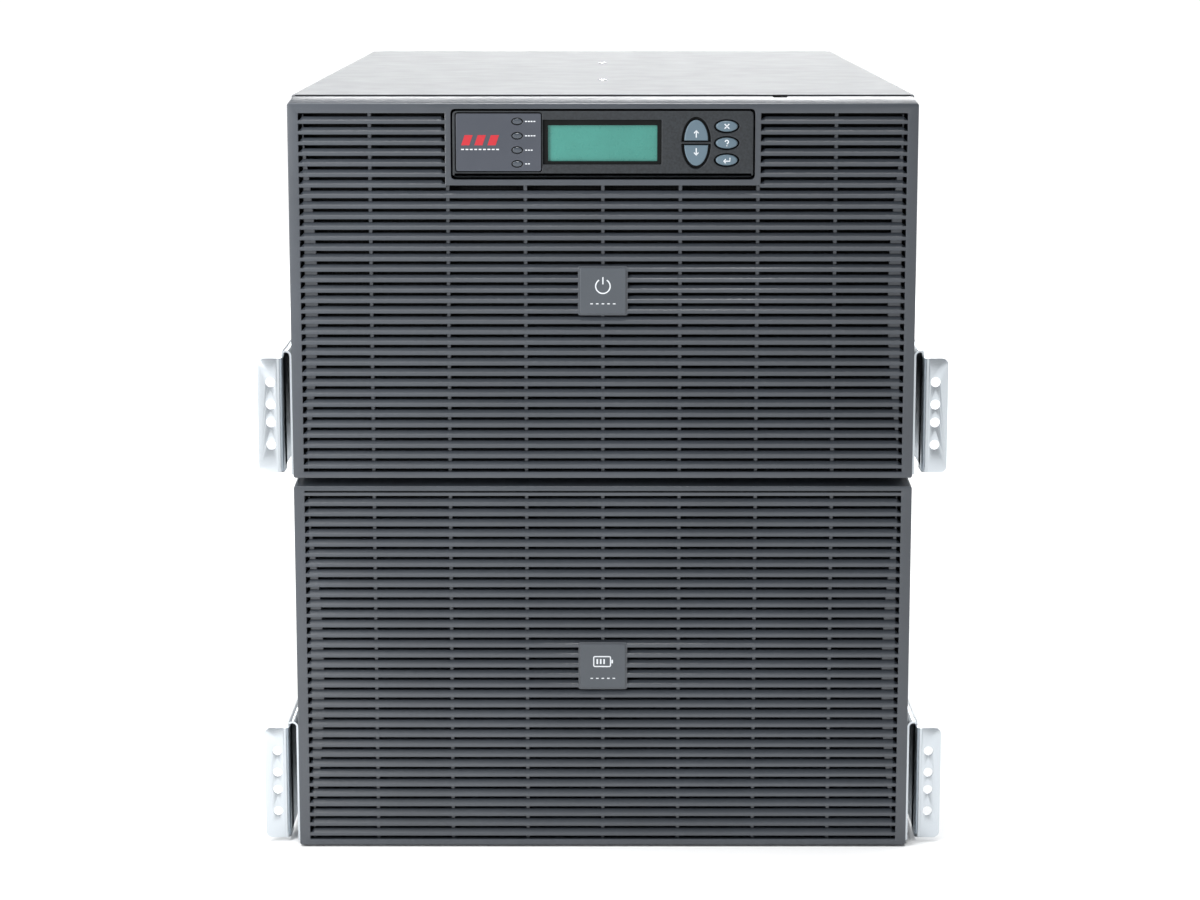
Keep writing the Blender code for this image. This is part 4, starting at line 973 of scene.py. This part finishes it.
def make_card_face(base):
    """Face plate of the management card with its port, lamps and thumb screws."""
    low, high = base + CARD_PLACE[2], base + CARD_PLACE[3]
    level = base + 238
    holes = [frame_hole(157.5, 7.5, base + 232, base + 244, -0.1, 0.5), ellipse(176, level, 2.2, 2.2, 20)]
    holes += [ellipse(x, level, 1.6, 1.6, 16) for x in (132, 138)]
    outline = rounded_loop(108, 208, low - 1.5, high + 1.5, 1.2)
    bm = flat_mesh("card", outline, holes, 375.3, 376.8, bevel=0.3)
    make_piece("card_face", bm, "sheet_steel")
    knobs = bmesh.new()
    profile = [(4.6, 0), (4.6, 3.6), (4.2, 4.2), (2.6, 4.2), (2.4, 3.4), (0.1, 3.4)]
    for x in (114.0, 202.0):
        lathe(knobs, (x, 376.7, level), profile, sides=28)
    make_piece("card_knobs", knobs, "zinc")
    pins = bmesh.new()
    for pin in range(8):
        x = 153.6 + pin * 1.12
        add_box(pins, (x - 0.25, 364.0, base + 241.2), (x + 0.25, 373.6, base + 241.8))
    make_piece("port_pins", pins, "brass")


def place_hole(place, base):
    x, half, low, high = place
    return frame_hole(x, half, base + low, base + high)


def centred_hole(centre, halves, base):
    (x, level), (half_x, half_z) = centre, halves
    return place_hole((x, half_x, level - half_z, level + half_z), base)


def make_enclosures():
    for unit, base in (("battery", 0.0), ("ups", RACK_PITCH)):
        make_cover(unit, base)
        make_sides(unit, base)
    base = RACK_PITCH
    holes = [ellipse(x, base + FAN_LEVEL, FAN_BORE, FAN_BORE, 64) for x in FAN_X]
    holes += [centred_hole(UPS_BREAKER, BREAKER_HALF, base), centred_hole(UPS_SOCKET, SOCKET_HALF, base),
              place_hole(OUTLET_BLOCK, base), place_hole(CARD_PLACE, base)]
    holes += slot_grid(-44, 54, base + 60, base + 134, 13.0, 3.2, 16.0, 7.0)
    make_rear("ups", base, holes)
    make_vent_filter("ups", -50, 60, base + 56, base + 140)
    for index, x in enumerate(FAN_X, start=1):
        make_fan_guard(index, x, base + FAN_LEVEL)
        make_rotor(index, x, base + FAN_LEVEL)
    make_outlet_faces(base)
    make_socket_trim("ups", UPS_SOCKET[0], base + UPS_SOCKET[1])
    make_breaker_trim("ups", "input_lever", UPS_BREAKER[0], base + UPS_BREAKER[1],
                      "ups_input_breaker_lever")
    make_terminal_cover(base)
    make_card_face(base)
    holes = [centred_hole(BATTERY_BREAKER, BREAKER_HALF, 0), centred_hole(BATTERY_SOCKET, SOCKET_HALF, 0)]
    holes += slot_grid(-190, 190, 36, 150, 13.0, 3.2, 16.5, 7.5)
    make_rear("battery", 0.0, holes)
    make_vent_filter("battery", -195, 195, 30, 156)
    make_socket_trim("battery", *BATTERY_SOCKET)
    make_breaker_trim("battery", "battery_lever", *BATTERY_BREAKER, "battery_breaker_lever")


# ------ rails

RAIL_X = (216.6, 225.1)
RAIL_WALL = 1.4
FLANGE_LEVELS = (2.5, 83.5)
FLANGE_TIP = 241.3
HOLE_X = 232.55
HOLE_RADIUS = 3.4
CHANNEL_Y = (-358.0, 60.0)
LIP_Y = (-371.0, -357.5)
FLANGE_FRONT, FLANGE_BEND, FLANGE_CORNER = -366.0, 4.0, 4.5
LEDGE_INNER, LEDGE_FRONT, LEDGE_THICK = 190.0, -340.0, 1.2
HOLE_HEIGHTS = (22.225, 38.1, 50.8, 66.675)


def make_front_rail(name, sign, base):
    """Channel with a round top, a ledge under the enclosure, and a flange bent out at its front."""
    inner, outer = RAIL_X
    middle, radius = (inner + outer) / 2, (outer - inner) / 2
    level = base + 85.7
    outline = [(outer, base + 6)] + arc(middle, level, radius, 0, 180, 16)
    outline += [(inner, base), (inner + RAIL_WALL, base)]
    outline += arc(middle, level, radius - RAIL_WALL, 180, 0, 16) + [(outer - RAIL_WALL, base + 6)]
    bm = bmesh.new()
    loft(bm, [[point(sign * x, y, z) for x, z in outline] for y in CHANNEL_Y])
    lip = [(inner, base + 2)] + arc(middle, level, radius, 180, 50, 12)
    lip += arc(middle, level, radius - RAIL_WALL, 50, 180, 12) + [(inner + RAIL_WALL, base + 2)]
    loft(bm, [[point(sign * x, y, z) for x, z in lip] for y in LIP_Y])
    near, far = sorted((sign * LEDGE_INNER, sign * (inner + 0.7)))
    add_box(bm, (near, LEDGE_FRONT, base), (far, CHANNEL_Y[1], base + LEDGE_THICK), bevel=0.3)

    low, high = base + FLANGE_LEVELS[0], base + FLANGE_LEVELS[1]
    bend, front, corner = FLANGE_BEND, FLANGE_FRONT, FLANGE_CORNER
    start = outer - RAIL_WALL + bend
    turn = FLANGE_TIP - corner
    plate = [(start, low), (turn, low)] + arc(turn, low + corner, corner, 270, 360, 8)
    plate += arc(turn, high - corner, corner, 0, 90, 8) + [(start, high)]
    plate = [(sign * x, z) for x, z in plate]
    holes = [ellipse(sign * HOLE_X, base + height, HOLE_RADIUS, HOLE_RADIUS, 28)
             for height in HOLE_HEIGHTS]
    add_plate(bm, plate, holes, front, front + RAIL_WALL, bevel=0.2)
    profile = arc(start, front + bend, bend, 270, 180, 10) + [(outer - RAIL_WALL, -346.0), (outer, -346.0)]
    profile += arc(start, front + bend, bend - RAIL_WALL, 180, 270, 10)
    loft(bm, [[point(sign * x, y, z) for x, y in profile] for z in (low, high)])
    make_piece(name + "_steel", bm, "zinc", replaced=(name,), smooth_angle=ROUND_ANGLE)


def make_rails():
    for level_name, base in (("lower", 0.0), ("upper", RACK_PITCH)):
        for side_name, sign in (("left", -1), ("right", 1)):
            make_front_rail(f"rail_front_{level_name}_{side_name}", sign, base)


# ------ battery trays

TRAY_X = (1.2, 214.2)
TRAY_Y = (-341.0, 259.0)
TRAY_LEVELS = ((5.0, 132.1), (136.1, 263.4))
TRAY_SEAMS = (-150.0, 55.0)  # where one sleeve ends; the next starts SEAM behind it
SEAM = 1.5
HANDLE_HALF, HANDLE_REACH, HANDLE_TURN = 53.0, 23.0, 8.0
HANDLE_DROPS, STRAP = (26, 10), 4.0
PLUG_HALF, PLUG_RISES = 26, (16, 38)
WELL_X = 12


def add_strap(bm, path, thickness, low, high):
    """Upright strap that follows (x, y) points, with its edges chamfered."""
    chamfer = 1.0
    sections = []
    for index, spot in enumerate(path):
        before, after = Vector(path[max(index - 1, 0)]), Vector(path[min(index + 1, len(path) - 1)])
        along = (after - before).normalized()
        across = Vector((-along.y, along.x)) * thickness / 2
        inset = across * (1 - 2 * chamfer / thickness)
        ring = [(across, low + chamfer), (across, high - chamfer), (inset, high), (-inset, high),
                (-across, high - chamfer), (-across, low + chamfer), (-inset, low), (inset, low)]
        sections.append([point(spot[0] + shift.x, spot[1] + shift.y, z) for shift, z in ring])
    loft(bm, sections)


def make_tray(index, sign, low, high):
    """Battery cartridge: seamed steel sleeve, face plate, handle and two-pole plug."""
    near, far = sorted((sign * TRAY_X[0], sign * TRAY_X[1]))
    middle, level = (near + far) / 2, (low + high) / 2
    body = f"tray_{index}"
    front, back = TRAY_Y
    case = bmesh.new()
    add_box(case, (near + 0.8, front + 2, low + 0.8), (far - 0.8, back - 1, high - 0.8))
    starts = [front + SEAM] + [seam + SEAM for seam in TRAY_SEAMS]
    for start, end in zip(starts, (*TRAY_SEAMS, back)):
        add_box(case, (near, start, low), (far, end, high), bevel=0.8)
    make_piece(body + "_case", case, "battery_case", replaced=("battery_" + body,), body=body)
    slots = []
    for bottom, top in ((low + 8, low + 26), (high - 20, high - 6)):
        slots += slot_grid(near + 14, far - 14, bottom, top, 14.0, 3.0, 19.0, 6.5)
    outline = rounded_loop(near + 1, far - 1, low + 1, high - 1, 2, 4)
    face = flat_mesh("face", outline, slots, front, front + 1.4, bevel=0.3)
    make_piece(body + "_face", face, "black_steel", replaced=(f"tray_front_{index}",), body=body)

    handle = bmesh.new()
    half, reach, turn = HANDLE_HALF, front - HANDLE_REACH, HANDLE_TURN
    path = [(middle - half, front + 1.0)]
    path += arc(middle - half + turn, reach + turn, turn, 180, 270, 6)
    path += arc(middle + half - turn, reach + turn, turn, 270, 360, 6)
    path += [(middle + half, front + 1.0)]
    add_strap(handle, path, STRAP, level - HANDLE_DROPS[0], level - HANDLE_DROPS[1])
    for side in (-1, 1):
        x = middle + side * (half + 6)
        add_box(handle, (x - 9, front - 2.4, level - 27), (x + 9, front, level - 9), bevel=0.8)
    make_piece(body + "_handle", handle, "socket_plastic", body=body)

    plug = bmesh.new()
    wells = [frame_hole(middle + side * WELL_X, 9.0, level + 20, level + 34, 0, 1.2) for side in (-1, 1)]
    low_rise, high_rise = PLUG_RISES
    outline = rounded_loop(middle - PLUG_HALF, middle + PLUG_HALF, level + low_rise, level + high_rise, 2, 4)
    add_plate(plug, outline, wells, front - 16, front - 4, bevel=0.6)
    add_box(plug, (middle - 25.5, front - 4.5, level + 16.5), (middle + 25.5, front, level + 37.5),
            bevel=0.4)
    make_piece(body + "_plug", plug, "breaker_plastic", body=body)
    metal = bmesh.new()
    for side in (-1, 1):
        x = middle + side * WELL_X
        add_box(metal, (x - 1.5, front - 12, level + 22), (x + 1.5, front - 4.2, level + 32), bevel=0.4)
    make_piece(body + "_blades", metal, "brass", body=body)
    spots = [(x, front + 0.1, z) for x in (near + 7, far - 7) for z in (low + 7, level, high - 7)]
    make_screws(body + "_screws", spots, "-y", body=body, radius=3.0)


def make_trays():
    index = 1
    for low, high in reversed(TRAY_LEVELS):
        for sign in (-1, 1):
            make_tray(index, sign, low, high)
            index += 1


# ------ stage

CAMERA_PLACE = (-0.002, -2.278, 0.6434)  # metres, as all of this section is
CAMERA_TILT = 9.37  # degrees below level
CAMERA_LENS, CAMERA_SHIFT = 83.2, -0.05
AMBIENT = 0.42
FLOOR_LEVEL = -0.0005
CEILING_STRENGTH, CEILING_ANGLE = 2.75, 22
# Each area light: its place, its target, its width and height, and its watts.
LIGHTS = {
    "key": ((-0.62, -0.88, 0.72), (-0.14, -0.38, 0.27), (0.3, 0.9), 7.5),
    "back": ((1.0, 2.6, 1.17), (0.1, -0.3, 0.5), (3.6, 0.5), 42),
}


def make_camera():
    """In front of the stack, a little above its top cover, tilted down to it."""
    data = bpy.data.cameras.new("camera")
    data.sensor_width = 36.0
    data.lens = CAMERA_LENS
    data.shift_y = CAMERA_SHIFT
    camera = add_object("camera", data)
    camera.location = CAMERA_PLACE
    camera.rotation_euler = (math.radians(90 - CAMERA_TILT), 0.0, 0.0)
    bpy.context.scene.camera = camera


def add_light(name, place, target, size, watts):
    data = bpy.data.lights.new(name, "AREA")
    data.shape = "RECTANGLE"
    data.size, data.size_y = size
    data.energy = watts
    light = add_object(name, data)
    light.location = place
    light.rotation_euler = (Vector(target) - Vector(place)).to_track_quat("-Z", "Y").to_euler()
    light.visible_camera = False


def make_world():
    """White studio: full white where the camera sees it, dimmer as a source of light."""
    world = bpy.data.worlds.new("studio")
    world.use_nodes = True
    nodes, links = world.node_tree.nodes, world.node_tree.links
    ambient = nodes["Background"]
    set_inputs(ambient, {"Color": (0.95, 0.975, 1.0, 1.0), "Strength": AMBIENT})
    backdrop = nodes.new("ShaderNodeBackground")
    backdrop.inputs["Color"].default_value = (1.0, 1.0, 1.0, 1.0)
    path = nodes.new("ShaderNodeLightPath")
    mix = nodes.new("ShaderNodeMixShader")
    links.new(path.outputs["Is Camera Ray"], mix.inputs["Fac"])
    links.new(ambient.outputs["Background"], mix.inputs[1])
    links.new(backdrop.outputs["Background"], mix.inputs[2])
    links.new(mix.outputs["Shader"], nodes["World Output"].inputs["Surface"])
    bpy.context.scene.world = world


def make_stage():
    bm = bmesh.new()
    bmesh.ops.create_grid(bm, x_segments=2, y_segments=2, size=90.0)
    mesh = bpy.data.meshes.new("floor")
    bm.to_mesh(mesh)
    bm.free()
    material, _, _, shader = new_material("floor_paper")
    set_inputs(shader, {"Base Color": (0.91, 0.91, 0.91, 1.0), "Roughness": 0.9, "Specular IOR Level": 0.1})
    mesh.materials.append(material)
    floor = add_object("floor", mesh)
    floor.location = (0, 0, FLOOR_LEVEL)
    make_world()

    ceiling = bpy.data.lights.new("ceiling", "SUN")
    ceiling.energy = CEILING_STRENGTH
    ceiling.angle = math.radians(CEILING_ANGLE)
    add_object("ceiling", ceiling)
    for name, settings in LIGHTS.items():
        add_light(name, *settings)
    bpy.context.scene.view_settings.view_transform = "Standard"


# ------ carried-over CAD nodes

SLOT_MATERIALS = {part["node"]: part["material_slot"] for part in frame["record"]["subparts"]}


def dress_frame_nodes():
    for name, node in frame["nodes"].items():
        node.data.materials.clear()
        node.data.materials.append(MATERIALS[SLOT_MATERIALS[name]])


dress_frame_nodes()
make_bezel("battery", 0.0, with_pocket=False)
make_bezel("ups", RACK_PITCH, with_pocket=True)
make_display()
make_enclosures()
make_rails()
make_trays()
make_camera()
make_stage()
